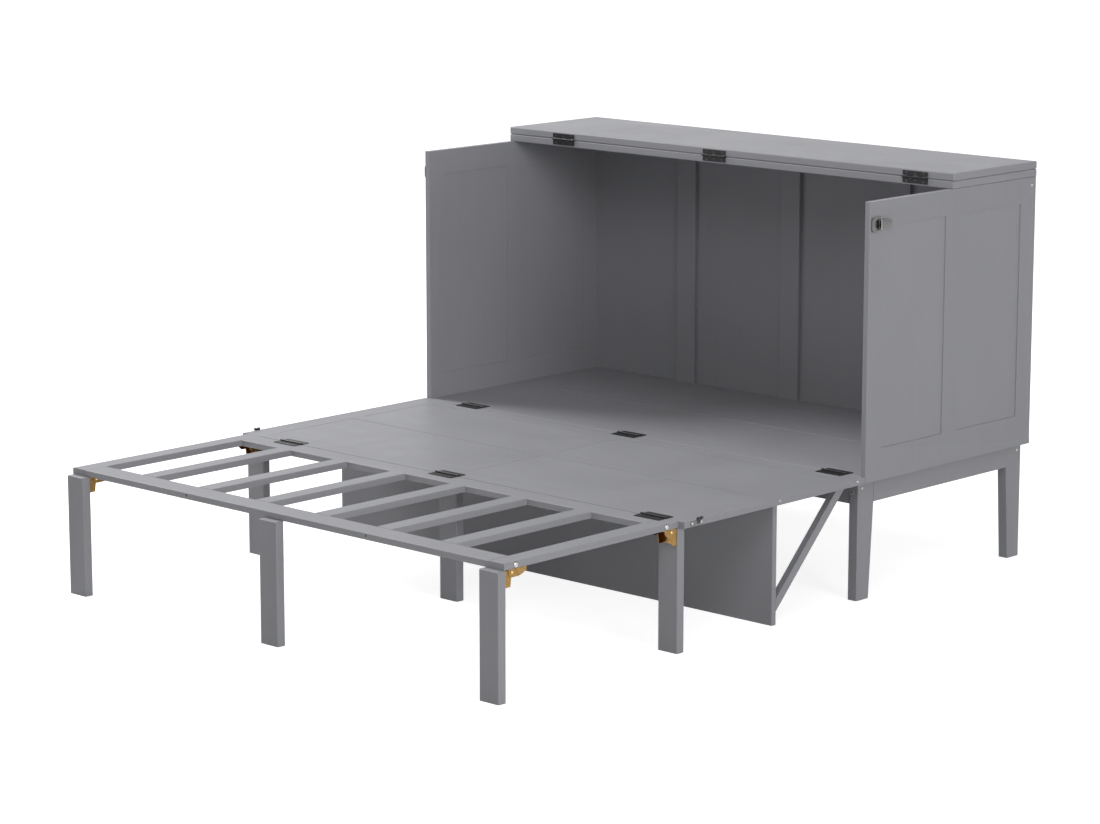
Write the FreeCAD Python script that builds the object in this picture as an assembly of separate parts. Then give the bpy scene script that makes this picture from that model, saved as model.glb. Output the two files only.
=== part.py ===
import FreeCAD, Part
import math
import os

os.makedirs("parts", exist_ok=True)

# Cabinet bed, shown open: a low cabinet whose front panel has come down as a bed deck, with a
# slatted frame folded out beyond it. Millimetres. Before the last step every piece is placed
# with x = 0 in the middle, y = 0 at the cabinet's front edge (-Y towards the foot of the bed)
# and z = 0 on the floor. Right means +X, seen from the foot of the bed.

V = FreeCAD.Vector
X_AXIS = V(1, 0, 0)
Y_AXIS = V(0, 1, 0)
Z_AXIS = V(0, 0, 1)

# ---- driving dimensions ----------------------------------------------------------------------
BED_WIDTH = 1636.0          # cabinet, deck and top, outside to outside
SIDE_HEIGHT = 728.0         # side panel, from the cabinet floor to the top
SIDE_THICK = 17.0
SIDE_DEPTH = 721.0          # side panel, front edge to the back panel
SIDE_STILE_FRONT = 62.0
SIDE_STILE_MIDDLE = 65.0
SIDE_STILE_REAR = 57.0
SIDE_RAIL_TOP = 68.0
SIDE_RAIL_BOTTOM = 70.0
SIDE_MIDDLE_CENTRE = 359.5  # middle stile of a side, from the front edge

FIELD_RECESS = 2.5          # a field lies this far behind the face of its frame
GROOVE_WIDTH = 6.0
GROOVE_DEPTH = 9.0
FIELD_GAP = 0.2             # all round a field, and its tongue in the groove
ARRIS = 1.5                 # eased corner of a board

BACK_THICK = 12.0
MULLION_WIDTH = 70.0
MULLION_THICK = 14.0
MULLION_PITCH = 400.0
MULLION_OFFSET = -28.0      # middle mullion, from the middle of the bed

FLOOR_TOP = 340.0           # cabinet floor and deck, above the ground
FLOOR_THICK = 16.0
FLOOR_FRONT_DEPTH = 360.0   # front floor board; the rear board takes the rest
BATTEN_WIDTH = 90.0
BATTEN_THICK = 20.0

TOP_THICK = 21.0
TOP_DEPTH = 379.0
TOP_LIP = 2.0               # beyond the back panel
TOP_ROUND = 3.0
TOP_GAP = 0.4               # the flap over the fixed top, and over the side panels when shut

LEG_INSET = 28.0            # base leg, from the side of the cabinet
LEG_THICK = 30.0
LEG_DEPTH_TOP = 67.0
LEG_DEPTH_FOOT = 51.0
LEG_FRONT = 6.0             # front face of a front base leg
APRON_DEPTH = 63.5
APRON_THICK = 20.0
APRON_SETBACK = 2.0         # front and rear aprons, behind the faces of the legs

HINGE_LENGTH = 84.0
HINGE_LEAF = 28.5           # from the pin to the free edge of a leaf
TOP_HINGE_LEAF = 16.5
SUPPORT_HINGE_LEAF = 18.0
HINGE_THICK = 1.5
BARREL_R = 2.8
PIN_R = 1.2
PIN_FIT = 0.05              # radial clearance of a pin in its knuckles
KNUCKLE_GAP = 0.4
LEAF_NOTCH = 1.8            # a leaf's plate, clear of the other leaf's knuckles
KNUCKLES = 5
LEG_HINGE_LENGTH = 50.0

HINGE_GAP = 1.0             # between two panels that share a hinge line
TOP_HINGE_LEFT = 219.0      # middles of the outer hinges, in from the ends of the bed
TOP_HINGE_RIGHT = 127.0
TOP_HINGE_MIDDLE = -18.0
FLOOR_HINGE_LEFT = 191.0
FLOOR_HINGE_RIGHT = 104.0
FLOOR_HINGE_MIDDLE = -17.0
DECK_HINGE_LEFT = 200.0
DECK_HINGE_RIGHT = 102.0
DECK_HINGE_MIDDLE = -12.0
SUPPORT_HINGE_INSET = 218.0

DECK_TOP_GAP = 7.5          # shut deck, under the top of the side panels
DECK_STILE = 71.0
DECK_HEAD_RAIL = 60.0
DECK_MIDDLE_RAIL = 48.0
DECK_MIDDLE_CENTRE = 344.0  # middle rail, from the cabinet's front edge
DECK_FOOT_RAIL = 74.0
DECK_MULLION = 62.0
DECK_MULLION_OFFSET = -31.0

FRAME_SIDE_GAP = 20.0       # frame, in from each side of the deck
FRAME_LENGTH = 620.0
FRAME_THICK = 17.0
FRAME_SIDE_RAIL = 54.0
FRAME_HEAD_RAIL = 68.0
FRAME_FOOT_RAIL = 70.0
FRAME_ROUND = 2.0
SLAT_COUNT = 6
SLAT_WIDTH = 52.0
SLAT_PITCH = 222.5
SLAT_OFFSET = -14.5         # middle of the row of slats, from the middle of the bed
RAIL_BOLT_R = 7.0
RAIL_BOLT_HEAD = 1.5
RAIL_BOLT_INSET = 41.0      # from each end of a side rail

POST_WIDTH = 64.0           # the six folding legs of the bed
POST_THICK = 26.0
POST_GAP = 0.3              # under the frame or the deck
POST_ROUND = 2.5
CENTRE_POST_OFFSET = -7.5
FOOT_POST_PROUD = 20.0      # foot row, beyond the end of the frame
MID_POST_UNDER = 24.0       # middle row, how far it stands under the edge of the deck

BRACKET_WIDTH = 49.0
BRACKET_SIDE = 1.0          # bracket, in from the side of the frame
BRACKET_SHEET = 1.5
FOOT_BRACKET_TAIL = 49.0    # from the pivot to the free end
MID_BRACKET_TAIL = 31.0
BRACKET_LOBE_R = 12.0
BRACKET_END = 11.0
PIVOT_DROP = 8.0            # leg pivot, below the frame
PIVOT_REACH = 22.0          # leg pivot, from the face of the leg
CHANNEL_HEIGHT = 43.0
CHANNEL_FOOT_DEPTH = 18.0   # a channel is as deep as its pivot above, and this deep at its foot
CHANNEL_LOBE_R = 6.0
CHANNEL_GAP = 0.3
RIVET_R = 2.5
RIVET_HEAD_R = 4.0
RIVET_HEAD = 1.2

SUPPORT_RIGHT_GAP = 26.0    # in from the right side of the deck; its left end is flush
SUPPORT_THICK = 17.0
SUPPORT_FACE = 346.5        # face towards the foot, from the cabinet's front edge
SUPPORT_GAP = 0.4           # under the deck
BRACE_THICK = 18.0
BRACE_WIDTH = 24.0
BRACE_INSET = 1.0
BRACE_SLOPE = 45.5          # degrees above the level
BRACE_FOOT = 53.0           # height of its middle line at the support panel
BRACE_GAP = 0.4
BRACE_HINGE_LENGTH = 20.0
BRACE_HINGE_LEAF = 15.0
BRACE_HINGE_RISE = 11.5      # middle of the hinge, above the brace's middle line at the panel

LATCH_DROP = 60.0           # middle of the latch, under the top of the side panel
LATCH_PIVOT_Y = 32.0
LATCH_PIVOT_X = 5.0         # lever pivot, out from the side panel
LATCH_THROW = 10.0          # from the lever pivot to the loop pivot
LOOP_REACH = 38.0
LOOP_HALF = 19.0
LOOP_WINDOW = 14.4
LOOP_BAND = 12.0
LOOP_THICK = 2.5
LOOP_ROUND = 8.0
LEVER_HALF = 13.0
LEVER_LENGTH = 50.0
LEVER_SHEET = 2.0
LEVER_RISE = 4.0            # lever plate, out from its pivot
LEVER_TAPER = 0.7           # its free end, as a share of its width
LEVER_NOSE = 5.0            # cut corners of the free end
CHEEK_AT = 10.5
CHEEK_SHEET = 1.5
CHEEK_R = 4.0
LATCH_PIN_R = 1.5
BASE_SHEET = 1.5
BASE_HALF = 9.5
BASE_LENGTH = 36.0
EAR_R = 4.0
KEEPER_TONGUE = 4.0         # hook of the keeper, beyond the inner face of the shut deck
KEEPER_LIP = 5.0
KEEPER_LENGTH = 44.0
KEEPER_HOOK = 20.0
KEEPER_INSET = 6.0          # the hook's root, down the plate

SCREW_R = 3.5
SCREW_HEAD = 1.2
LEG_SCREW_DOWN = 20.0       # leg screws, under the floor
LEG_SCREW_FRONT = 17.0      # side screw of a front leg, from its front face
LEG_SCREW_REAR = 19.0       # side screw of a rear leg, from its rear face
FACE_SCREW_DOWN = 33.0      # screw in the front face of a front leg, under the floor
FACE_SCREW_IN = 20.0        # and in from the leg's outer side
TOP_SCREW_DOWN = 22.0       # screw at the top rear corner of a side
TOP_SCREW_IN = 7.0
DECK_SCREW_HEAD = 33.0      # screws in the deck's edge, from the cabinet's front edge
DECK_SCREW_MIDDLE = 350.0
DECK_SCREW_DOWN = 5.5

# ---- places worked out from the sizes above --------------------------------------------------
HALF = BED_WIDTH / 2
SIDE_IN = HALF - SIDE_THICK
FLOOR_UNDER = FLOOR_TOP - FLOOR_THICK
SIDE_TOP = FLOOR_TOP + SIDE_HEIGHT
LATCH_HEIGHT = SIDE_TOP - LATCH_DROP
BACK_REAR = SIDE_DEPTH + BACK_THICK
TOP_BACK = BACK_REAR + TOP_LIP
TOP_FRONT = TOP_BACK - TOP_DEPTH
FIXED_TOP_Z = SIDE_TOP + TOP_THICK
TOP_PIN = (TOP_FRONT - BARREL_R, FIXED_TOP_Z + TOP_GAP)

FLOOR_PIN = (-HINGE_GAP / 2, FLOOR_TOP + BARREL_R)
TOP_HINGE_X = (-HALF + TOP_HINGE_LEFT, TOP_HINGE_MIDDLE, HALF - TOP_HINGE_RIGHT)
FLOOR_HINGE_X = (-HALF + FLOOR_HINGE_LEFT, FLOOR_HINGE_MIDDLE, HALF - FLOOR_HINGE_RIGHT)
DECK_HINGE_X = (-HALF + DECK_HINGE_LEFT, DECK_HINGE_MIDDLE, HALF - DECK_HINGE_RIGHT)
DECK_LENGTH = SIDE_HEIGHT - DECK_TOP_GAP
DECK_HEAD = -HINGE_GAP
DECK_FOOT = DECK_HEAD - DECK_LENGTH
DECK_PIN = (DECK_FOOT - HINGE_GAP / 2, FLOOR_TOP + BARREL_R)
FRAME_HEAD = DECK_FOOT - HINGE_GAP
FRAME_FOOT = FRAME_HEAD - FRAME_LENGTH
FRAME_HALF = HALF - FRAME_SIDE_GAP
FRAME_UNDER = FLOOR_TOP - FRAME_THICK

POST_TOP = FRAME_UNDER - POST_GAP
FOOT_POST_FRONT = FRAME_FOOT - FOOT_POST_PROUD
FOOT_POST_FACE = FOOT_POST_FRONT + POST_THICK
MID_POST_REAR = DECK_FOOT + MID_POST_UNDER
MID_POST_FACE = MID_POST_REAR - POST_THICK
PIVOT_Z = FRAME_UNDER - PIVOT_DROP
FOOT_PIVOT_Y = FOOT_POST_FACE + PIVOT_REACH
MID_PIVOT_Y = MID_POST_FACE - PIVOT_REACH
POST_HINGE_Z = FRAME_UNDER - BARREL_R
FOOT_HINGE_Y = FOOT_POST_FACE + BARREL_R
MID_HINGE_Y = MID_POST_FACE - BARREL_R

SUPPORT_FRONT = -SUPPORT_FACE
SUPPORT_REAR = SUPPORT_FRONT + SUPPORT_THICK
SUPPORT_PIN = (SUPPORT_FRONT - BARREL_R, FLOOR_UNDER - BARREL_R)
SUPPORT_X0 = -HALF
SUPPORT_X1 = HALF - SUPPORT_RIGHT_GAP
SUPPORT_OFFSET = (SUPPORT_X0 + SUPPORT_X1) / 2
SUPPORT_HINGE_X = (SUPPORT_X0 + SUPPORT_HINGE_INSET, SUPPORT_OFFSET, SUPPORT_X1 - SUPPORT_HINGE_INSET)
BRACE_OUT = (SUPPORT_X1 - SUPPORT_X0) / 2 - BRACE_INSET
BRACE_IN = BRACE_OUT - BRACE_THICK
BRACE_HINGE_Z = BRACE_FOOT + BRACE_HINGE_RISE

FOOT_END = FOOT_POST_FRONT
LENGTH_MIDDLE = (FOOT_END + TOP_BACK) / 2


# ---- small tools -----------------------------------------------------------------------------
def block(x0, x1, y0, y1, z0, z1):
    return Part.makeBox(x1 - x0, y1 - y0, z1 - z0, V(x0, y0, z0))


def rod(radius, length, start, direction):
    return Part.makeCylinder(radius, length, start, direction)


def edges_along(shape, axis):
    """The straight edges that run along one axis."""
    found = []
    for edge in shape.Edges:
        if abs(edge.tangentAt(edge.FirstParameter).dot(axis)) > 0.999:
            found.append(edge)
    return found


def eased(shape, size, *axes):
    """The shape with a flat arris on its edges along the named axes."""
    chosen = []
    for axis in axes:
        chosen += edges_along(shape, axis)
    return shape.makeChamfer(size, chosen)


def rounded(shape, radius, *axes):
    chosen = []
    for axis in axes:
        chosen += edges_along(shape, axis)
    return shape.makeFillet(radius, chosen)


def mirrored(shape):
    """The same piece on the other side of the bed."""
    return shape.mirror(V(0, 0, 0), X_AXIS)


def plate(outline, direction):
    """A flat plate: a closed outline of points and edges, pushed along a direction."""
    return Part.Face(Part.Wire(outline)).extrude(direction)


def polygon(points):
    return Part.makePolygon([V(*p) for p in points + [points[0]]]).Edges


def save(name, *solids):
    """Writes one node, moved so that the bed's middle stands on the origin."""
    shape = solids[0] if len(solids) == 1 else Part.makeCompound(list(solids))
    moved = shape.copy()
    moved.translate(V(0, -LENGTH_MIDDLE, 0))
    moved.exportStep("parts/" + name + ".step")


# ---- framed panels ---------------------------------------------------------------------------
def groove_tool(face, opening, centre):
    """The slot that an opening's frame is cut with, where the field's tongue goes."""
    u0, u1, v0, v1 = opening
    half = GROOVE_WIDTH / 2
    reach = GROOVE_DEPTH
    return face(u0 - reach, u1 + reach, v0 - reach, v1 + reach, centre - half, centre + half)


def framed_panel(face, bars, openings, w0, w1):
    """Stiles and rails grooved for the fields, and the fields with their tongues."""
    centre = (w0 + w1) / 2
    frame = []
    for u0, u1, v0, v1 in bars:
        bar = face(u0, u1, v0, v1, w0, w1)
        for opening in openings:
            bar = bar.cut(groove_tool(face, opening, centre))
        frame.append(bar)
    fields = []
    for u0, u1, v0, v1 in openings:
        gap = FIELD_GAP
        body = face(u0 + gap, u1 - gap, v0 + gap, v1 - gap, w0 + FIELD_RECESS, w1 - FIELD_RECESS)
        reach = GROOVE_DEPTH - gap
        half = GROOVE_WIDTH / 2 - gap / 2
        tongue = face(u0 - reach, u1 + reach, v0 - reach, v1 + reach, centre - half, centre + half)
        fields.append(body.fuse(tongue).removeSplitter())
    return frame, fields


# ---- butt hinges -----------------------------------------------------------------------------
def butt_leaf(length, width, outer):
    """One leaf about a pin on the X axis: flat plate below the pin, knuckles rolled over it."""
    step = length / KNUCKLES
    keep_off = BARREL_R + LEAF_NOTCH
    leaf = block(-length / 2, length / 2, keep_off, width, -BARREL_R, HINGE_THICK - BARREL_R)
    leaf = rounded(leaf, 2.0, Z_AXIS)
    for i in range(KNUCKLES):
        if (i % 2 == 0) != outer:
            continue
        x0 = -length / 2 + i * step + (KNUCKLE_GAP / 2 if i > 0 else 0)
        x1 = -length / 2 + (i + 1) * step - (KNUCKLE_GAP / 2 if i < KNUCKLES - 1 else 0)
        leaf = leaf.fuse(rod(BARREL_R, x1 - x0, V(x0, 0, 0), X_AXIS))
        web = block(x0, x1, 0, keep_off + 2.5, -BARREL_R, HINGE_THICK - BARREL_R)
        leaf = leaf.fuse(web)
    leaf = leaf.cut(rod(PIN_R + PIN_FIT, length + 2, V(-length / 2 - 1, 0, 0), X_AXIS))
    return leaf.removeSplitter()


def hinge_pin(length):
    return rod(PIN_R, length, V(-length / 2, 0, 0), X_AXIS)


def seat(shape, x, pin, turn=0.0, swap=False):
    """Places a leaf or pin: swapped end for end, turned about the pin, then moved to it."""
    placed = shape.copy()
    if swap:
        placed.rotate(V(0, 0, 0), Z_AXIS, 180)
    placed.rotate(V(0, 0, 0), X_AXIS, turn)
    placed.translate(V(x, pin[0], pin[1]))
    return placed


def stand_upright(shape, turn, place):
    """Turns a hinge piece so that its pin stands upright."""
    placed = shape.copy()
    placed.rotate(V(0, 0, 0), Y_AXIS, -90)
    placed.rotate(V(0, 0, 0), Z_AXIS, turn)
    placed.translate(place)
    return placed


# ---- cabinet sides ---------------------------------------------------------------------------
def side_panels():
    def face(u0, u1, v0, v1, w0, w1):
        return block(w0, w1, u0, u1, v0, v1)

    low = FLOOR_TOP + SIDE_RAIL_BOTTOM
    high = SIDE_TOP - SIDE_RAIL_TOP
    front = SIDE_STILE_FRONT
    mid0 = SIDE_MIDDLE_CENTRE - SIDE_STILE_MIDDLE / 2
    mid1 = SIDE_MIDDLE_CENTRE + SIDE_STILE_MIDDLE / 2
    rear = SIDE_DEPTH - SIDE_STILE_REAR
    bars = [
        (0, front, FLOOR_TOP, SIDE_TOP),
        (rear, SIDE_DEPTH, FLOOR_TOP, SIDE_TOP),
        (front, rear, FLOOR_TOP, low),
        (front, rear, high, SIDE_TOP),
        (mid0, mid1, low, high),
    ]
    openings = [(front, mid0, low, high), (mid1, rear, low, high)]
    frame, fields = framed_panel(face, bars, openings, SIDE_IN, HALF)
    past_front = block(SIDE_IN - 1, HALF + 1, ARRIS, SIDE_DEPTH + 1, 0, SIDE_TOP + 1)
    frame[0] = ease_front(frame[0], past_front)
    return frame, fields


def ease_front(stile, rest):
    """The two upright corners at the front edge of a side."""
    chosen = []
    for edge in edges_along(stile, Z_AXIS):
        if not rest.isInside(edge.CenterOfMass, 0.01, True):
            chosen.append(edge)
    return stile.makeChamfer(ARRIS, chosen)


side_frame, side_fields = side_panels()
save("side_frame_right", *side_frame)
save("side_frame_left", *[mirrored(piece) for piece in side_frame])
save("side_fields", *side_fields, *[mirrored(piece) for piece in side_fields])


# ---- cabinet back ----------------------------------------------------------------------------
def back_panel():
    board = block(-HALF, HALF, SIDE_DEPTH, BACK_REAR, FLOOR_TOP, SIDE_TOP)
    return eased(board, ARRIS, Z_AXIS)


def back_mullions():
    pieces = []
    for i in (-1, 0, 1):
        centre = MULLION_OFFSET + i * MULLION_PITCH
        x0 = centre - MULLION_WIDTH / 2
        bar = block(x0, x0 + MULLION_WIDTH, SIDE_DEPTH - MULLION_THICK, SIDE_DEPTH, FLOOR_TOP, SIDE_TOP)
        pieces.append(eased(bar, ARRIS, Z_AXIS))
    return pieces


save("back_panel", back_panel())
save("back_mullions", *back_mullions())


# ---- cabinet floor and base ------------------------------------------------------------------
def floor_board(y0, y1):
    board = block(-HALF, HALF, y0, y1, FLOOR_UNDER, FLOOR_TOP)
    return eased(board, ARRIS, X_AXIS)


def base_leg_outline(front, taper):
    """Side view of a base leg: square down to the apron, then tapering on its inner side."""
    shoulder = FLOOR_UNDER - APRON_DEPTH
    inner_top = front + taper * LEG_DEPTH_TOP
    inner_foot = front + taper * LEG_DEPTH_FOOT
    return [
        (0, front, 0),
        (0, front, FLOOR_UNDER),
        (0, inner_top, FLOOR_UNDER),
        (0, inner_top, shoulder),
        (0, inner_foot, 0),
    ]


def base_leg(front, taper):
    outer = HALF - LEG_INSET
    leg = plate(polygon(base_leg_outline(front, taper)), V(LEG_THICK, 0, 0))
    leg.translate(V(outer - LEG_THICK, 0, 0))
    return eased(leg, ARRIS, Z_AXIS)


def apron(x0, x1, y0, y1):
    return eased(block(x0, x1, y0, y1, FLOOR_UNDER - APRON_DEPTH, FLOOR_UNDER), ARRIS, X_AXIS)


LEG_OUT = HALF - LEG_INSET
LEG_IN = LEG_OUT - LEG_THICK
LEG_REAR = BACK_REAR

save("floor_front_board", floor_board(0, FLOOR_FRONT_DEPTH))
save("floor_rear_board", floor_board(FLOOR_FRONT_DEPTH, BACK_REAR))
batten = block(-LEG_IN, LEG_IN, FLOOR_FRONT_DEPTH - BATTEN_WIDTH / 2, FLOOR_FRONT_DEPTH + BATTEN_WIDTH / 2,
               FLOOR_UNDER - BATTEN_THICK, FLOOR_UNDER)
save("floor_batten", eased(batten, ARRIS, X_AXIS))

front_leg = base_leg(LEG_FRONT, 1)
rear_leg = base_leg(LEG_REAR, -1)
save("base_leg_front_right", front_leg)
save("base_leg_front_left", mirrored(front_leg))
save("base_leg_rear_right", rear_leg)
save("base_leg_rear_left", mirrored(rear_leg))

front_apron_y = LEG_FRONT + APRON_SETBACK
rear_apron_y = LEG_REAR - APRON_SETBACK
side_apron = block(LEG_OUT - APRON_THICK, LEG_OUT, LEG_FRONT + LEG_DEPTH_TOP,
                   LEG_REAR - LEG_DEPTH_TOP, FLOOR_UNDER - APRON_DEPTH, FLOOR_UNDER)
side_apron = eased(side_apron, ARRIS, Y_AXIS)
save("front_apron", apron(-LEG_IN, LEG_IN, front_apron_y, front_apron_y + APRON_THICK))
save("rear_apron", apron(-LEG_IN, LEG_IN, rear_apron_y - APRON_THICK, rear_apron_y))
save("side_aprons", side_apron, mirrored(side_apron))


# ---- top: fixed half and flap ----------------------------------------------------------------
def top_board(z0):
    board = block(-HALF, HALF, TOP_FRONT, TOP_BACK, z0, z0 + TOP_THICK)
    return rounded(board, TOP_ROUND, X_AXIS, Y_AXIS, Z_AXIS)


save("fixed_top", top_board(SIDE_TOP))
save("top_flap", top_board(FIXED_TOP_Z + TOP_GAP))


# ---- deck ------------------------------------------------------------------------------------
def deck():
    def face(u0, u1, v0, v1, w0, w1):
        return block(u0, u1, v0, v1, w0, w1)

    x_in = HALF - DECK_STILE
    mull0 = DECK_MULLION_OFFSET - DECK_MULLION / 2
    mull1 = DECK_MULLION_OFFSET + DECK_MULLION / 2
    head = -DECK_HEAD_RAIL
    mid_head = -DECK_MIDDLE_CENTRE + DECK_MIDDLE_RAIL / 2
    mid_foot = -DECK_MIDDLE_CENTRE - DECK_MIDDLE_RAIL / 2
    foot = DECK_FOOT + DECK_FOOT_RAIL
    bars = [
        (-HALF, -x_in, DECK_FOOT, DECK_HEAD),
        (x_in, HALF, DECK_FOOT, DECK_HEAD),
        (-x_in, x_in, head, DECK_HEAD),
        (-x_in, x_in, mid_foot, mid_head),
        (-x_in, x_in, DECK_FOOT, foot),
        (mull0, mull1, mid_head, head),
        (mull0, mull1, foot, mid_foot),
    ]
    openings = []
    for y0, y1 in ((mid_head, head), (foot, mid_foot)):
        openings.append((-x_in, mull0, y0, y1))
        openings.append((mull1, x_in, y0, y1))
    return framed_panel(face, bars, openings, FLOOR_UNDER, FLOOR_TOP)


deck_frame, deck_fields = deck()
save("deck_frame", *deck_frame)
save("deck_fields", *deck_fields)


# ---- slatted frame ---------------------------------------------------------------------------
def frame_bar(x0, x1, y0, y1, axis):
    return rounded(block(x0, x1, y0, y1, FRAME_UNDER, FLOOR_TOP), FRAME_ROUND, axis)


rail_in = FRAME_HALF - FRAME_SIDE_RAIL
slat_head = FRAME_HEAD - FRAME_HEAD_RAIL
slat_foot = FRAME_FOOT + FRAME_FOOT_RAIL
side_rail = frame_bar(rail_in, FRAME_HALF, FRAME_FOOT, FRAME_HEAD, Y_AXIS)
save("frame_side_rail_right", side_rail)
save("frame_side_rail_left", mirrored(side_rail))
save("frame_head_rail", frame_bar(-rail_in, rail_in, slat_head, FRAME_HEAD, X_AXIS))
save("frame_foot_rail", frame_bar(-rail_in, rail_in, FRAME_FOOT, slat_foot, X_AXIS))

slats = []
for i in range(SLAT_COUNT):
    centre = SLAT_OFFSET + (i - (SLAT_COUNT - 1) / 2) * SLAT_PITCH
    slat = frame_bar(centre - SLAT_WIDTH / 2, centre + SLAT_WIDTH / 2, slat_foot, slat_head, Y_AXIS)
    slats.append(slat)
save("slats", *slats)

bolts = []
for y in (FRAME_HEAD - RAIL_BOLT_INSET, FRAME_FOOT + RAIL_BOLT_INSET):
    place = V(FRAME_HALF, y, FRAME_UNDER + FRAME_THICK / 2)
    bolt = rod(RAIL_BOLT_R, RAIL_BOLT_HEAD, place, X_AXIS)
    bolt = bolt.makeChamfer(RAIL_BOLT_HEAD / 2, [bolt.Edges[0]])
    bolts += [bolt, mirrored(bolt)]
save("frame_bolts", *bolts)


# ---- hinges of the top, the floor, the deck and the support panel ----------------------------
long_outer = butt_leaf(HINGE_LENGTH, HINGE_LEAF, True)
long_inner = butt_leaf(HINGE_LENGTH, HINGE_LEAF, False)
top_outer = butt_leaf(HINGE_LENGTH, TOP_HINGE_LEAF, True)
top_inner = butt_leaf(HINGE_LENGTH, TOP_HINGE_LEAF, False)
support_outer = butt_leaf(HINGE_LENGTH, SUPPORT_HINGE_LEAF, True)
support_inner = butt_leaf(HINGE_LENGTH, HINGE_LEAF, False)
long_pin = hinge_pin(HINGE_LENGTH)

top_fixed_leaves = [seat(top_outer, x, TOP_PIN, 90, True) for x in TOP_HINGE_X]
floor_leaves = [seat(long_outer, x, FLOOR_PIN) for x in FLOOR_HINGE_X]
save("cabinet_hinge_leaves", *top_fixed_leaves, *floor_leaves)
top_pins = [seat(long_pin, x, TOP_PIN) for x in TOP_HINGE_X]
floor_pins = [seat(long_pin, x, FLOOR_PIN) for x in FLOOR_HINGE_X]
save("cabinet_hinge_pins", *top_pins, *floor_pins)
save("flap_hinge_leaves", *[seat(top_inner, x, TOP_PIN, 90) for x in TOP_HINGE_X])

deck_head_leaves = [seat(long_inner, x, FLOOR_PIN, 0, True) for x in FLOOR_HINGE_X]
deck_foot_leaves = [seat(long_outer, x, DECK_PIN) for x in DECK_HINGE_X]
deck_under_leaves = [seat(support_outer, x, SUPPORT_PIN, 180) for x in SUPPORT_HINGE_X]
save("deck_hinge_leaves", *deck_head_leaves, *deck_foot_leaves, *deck_under_leaves)
deck_pins = [seat(long_pin, x, DECK_PIN) for x in DECK_HINGE_X]
support_pins = [seat(long_pin, x, SUPPORT_PIN) for x in SUPPORT_HINGE_X]
save("deck_hinge_pins", *deck_pins, *support_pins)


# ---- folding legs ----------------------------------------------------------------------------
def post(x0, y0):
    """A folding leg: a board on end, rounded over at its top and up its corners."""
    leg = block(x0, x0 + POST_WIDTH, y0, y0 + POST_THICK, 0, POST_TOP)
    worn = [edge for edge in leg.Edges if edge.CenterOfMass.z > 1]
    return leg.makeFillet(POST_ROUND, worn)


def bracket(pivot_y, way, tail):
    """Channel under the side rail: two lobed ears that taper to the free end, joined on top."""
    outer = FRAME_HALF - BRACKET_SIDE
    inner = outer - BRACKET_WIDTH
    start = pivot_y - way * BRACKET_LOBE_R
    end = pivot_y + way * tail
    bottom = PIVOT_Z - BRACKET_LOBE_R
    tail_z = FRAME_UNDER - BRACKET_END
    diagonal = BRACKET_LOBE_R * math.sqrt(0.5)
    shoulder = V(inner, pivot_y + way * diagonal, PIVOT_Z - diagonal)
    outline = [
        Part.makeLine(V(inner, start, FRAME_UNDER), V(inner, start, PIVOT_Z)),
        Part.Arc(V(inner, start, PIVOT_Z), V(inner, pivot_y - way * diagonal, PIVOT_Z - diagonal),
                 V(inner, pivot_y, bottom)).toShape(),
        Part.Arc(V(inner, pivot_y, bottom),
                 V(inner, pivot_y + way * BRACKET_LOBE_R * math.sin(math.radians(22)),
                   PIVOT_Z - BRACKET_LOBE_R * math.cos(math.radians(22))), shoulder).toShape(),
        Part.makeLine(shoulder, V(inner, end, tail_z)),
        Part.makeLine(V(inner, end, tail_z), V(inner, end, FRAME_UNDER)),
        Part.makeLine(V(inner, end, FRAME_UNDER), V(inner, start, FRAME_UNDER)),
    ]
    body = plate(outline, V(BRACKET_WIDTH, 0, 0))
    hollow = block(inner + BRACKET_SHEET, outer - BRACKET_SHEET, min(start, end) - 1,
                   max(start, end) + 1, 0, FRAME_UNDER - BRACKET_SHEET)
    body = body.cut(hollow)
    hole = rod(RIVET_R + PIN_FIT, BRACKET_WIDTH + 4, V(inner - 2, pivot_y, PIVOT_Z), X_AXIS)
    return body.cut(hole)


def channel(pivot_y, face_y, way):
    """Channel screwed to a leg: a back plate and two flanges that run up to the pivot."""
    outer = FRAME_HALF - BRACKET_SIDE - BRACKET_SHEET - CHANNEL_GAP
    inner = outer - BRACKET_WIDTH + 2 * (BRACKET_SHEET + CHANNEL_GAP)
    low = FRAME_UNDER - CHANNEL_HEIGHT
    lobe_top = PIVOT_Z + CHANNEL_LOBE_R
    toe = V(inner, face_y + way * CHANNEL_FOOT_DEPTH, low)
    outline = [
        Part.makeLine(V(inner, face_y, low), toe),
        Part.makeLine(toe, V(inner, pivot_y, PIVOT_Z - CHANNEL_LOBE_R)),
        Part.Arc(V(inner, pivot_y, PIVOT_Z - CHANNEL_LOBE_R),
                 V(inner, pivot_y + way * CHANNEL_LOBE_R, PIVOT_Z),
                 V(inner, pivot_y, lobe_top)).toShape(),
        Part.makeLine(V(inner, pivot_y, lobe_top), V(inner, face_y, lobe_top)),
        Part.makeLine(V(inner, face_y, lobe_top), V(inner, face_y, low)),
    ]
    body = plate(outline, V(outer - inner, 0, 0))
    sheet_y = face_y + way * BRACKET_SHEET
    far_y = pivot_y + way * (CHANNEL_LOBE_R + 1)
    hollow = block(inner + BRACKET_SHEET, outer - BRACKET_SHEET, min(sheet_y, far_y),
                   max(sheet_y, far_y), low - 1, lobe_top + 1)
    body = body.cut(hollow)
    hole = rod(RIVET_R + PIN_FIT, BRACKET_WIDTH, V(inner - 1, pivot_y, PIVOT_Z), X_AXIS)
    return body.cut(hole)


def to_left_leg(shape):
    """The same metalwork on the left leg: one pattern, so it isn't handed."""
    return shape.translated(V(POST_WIDTH - 2 * FRAME_HALF, 0, 0))


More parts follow.
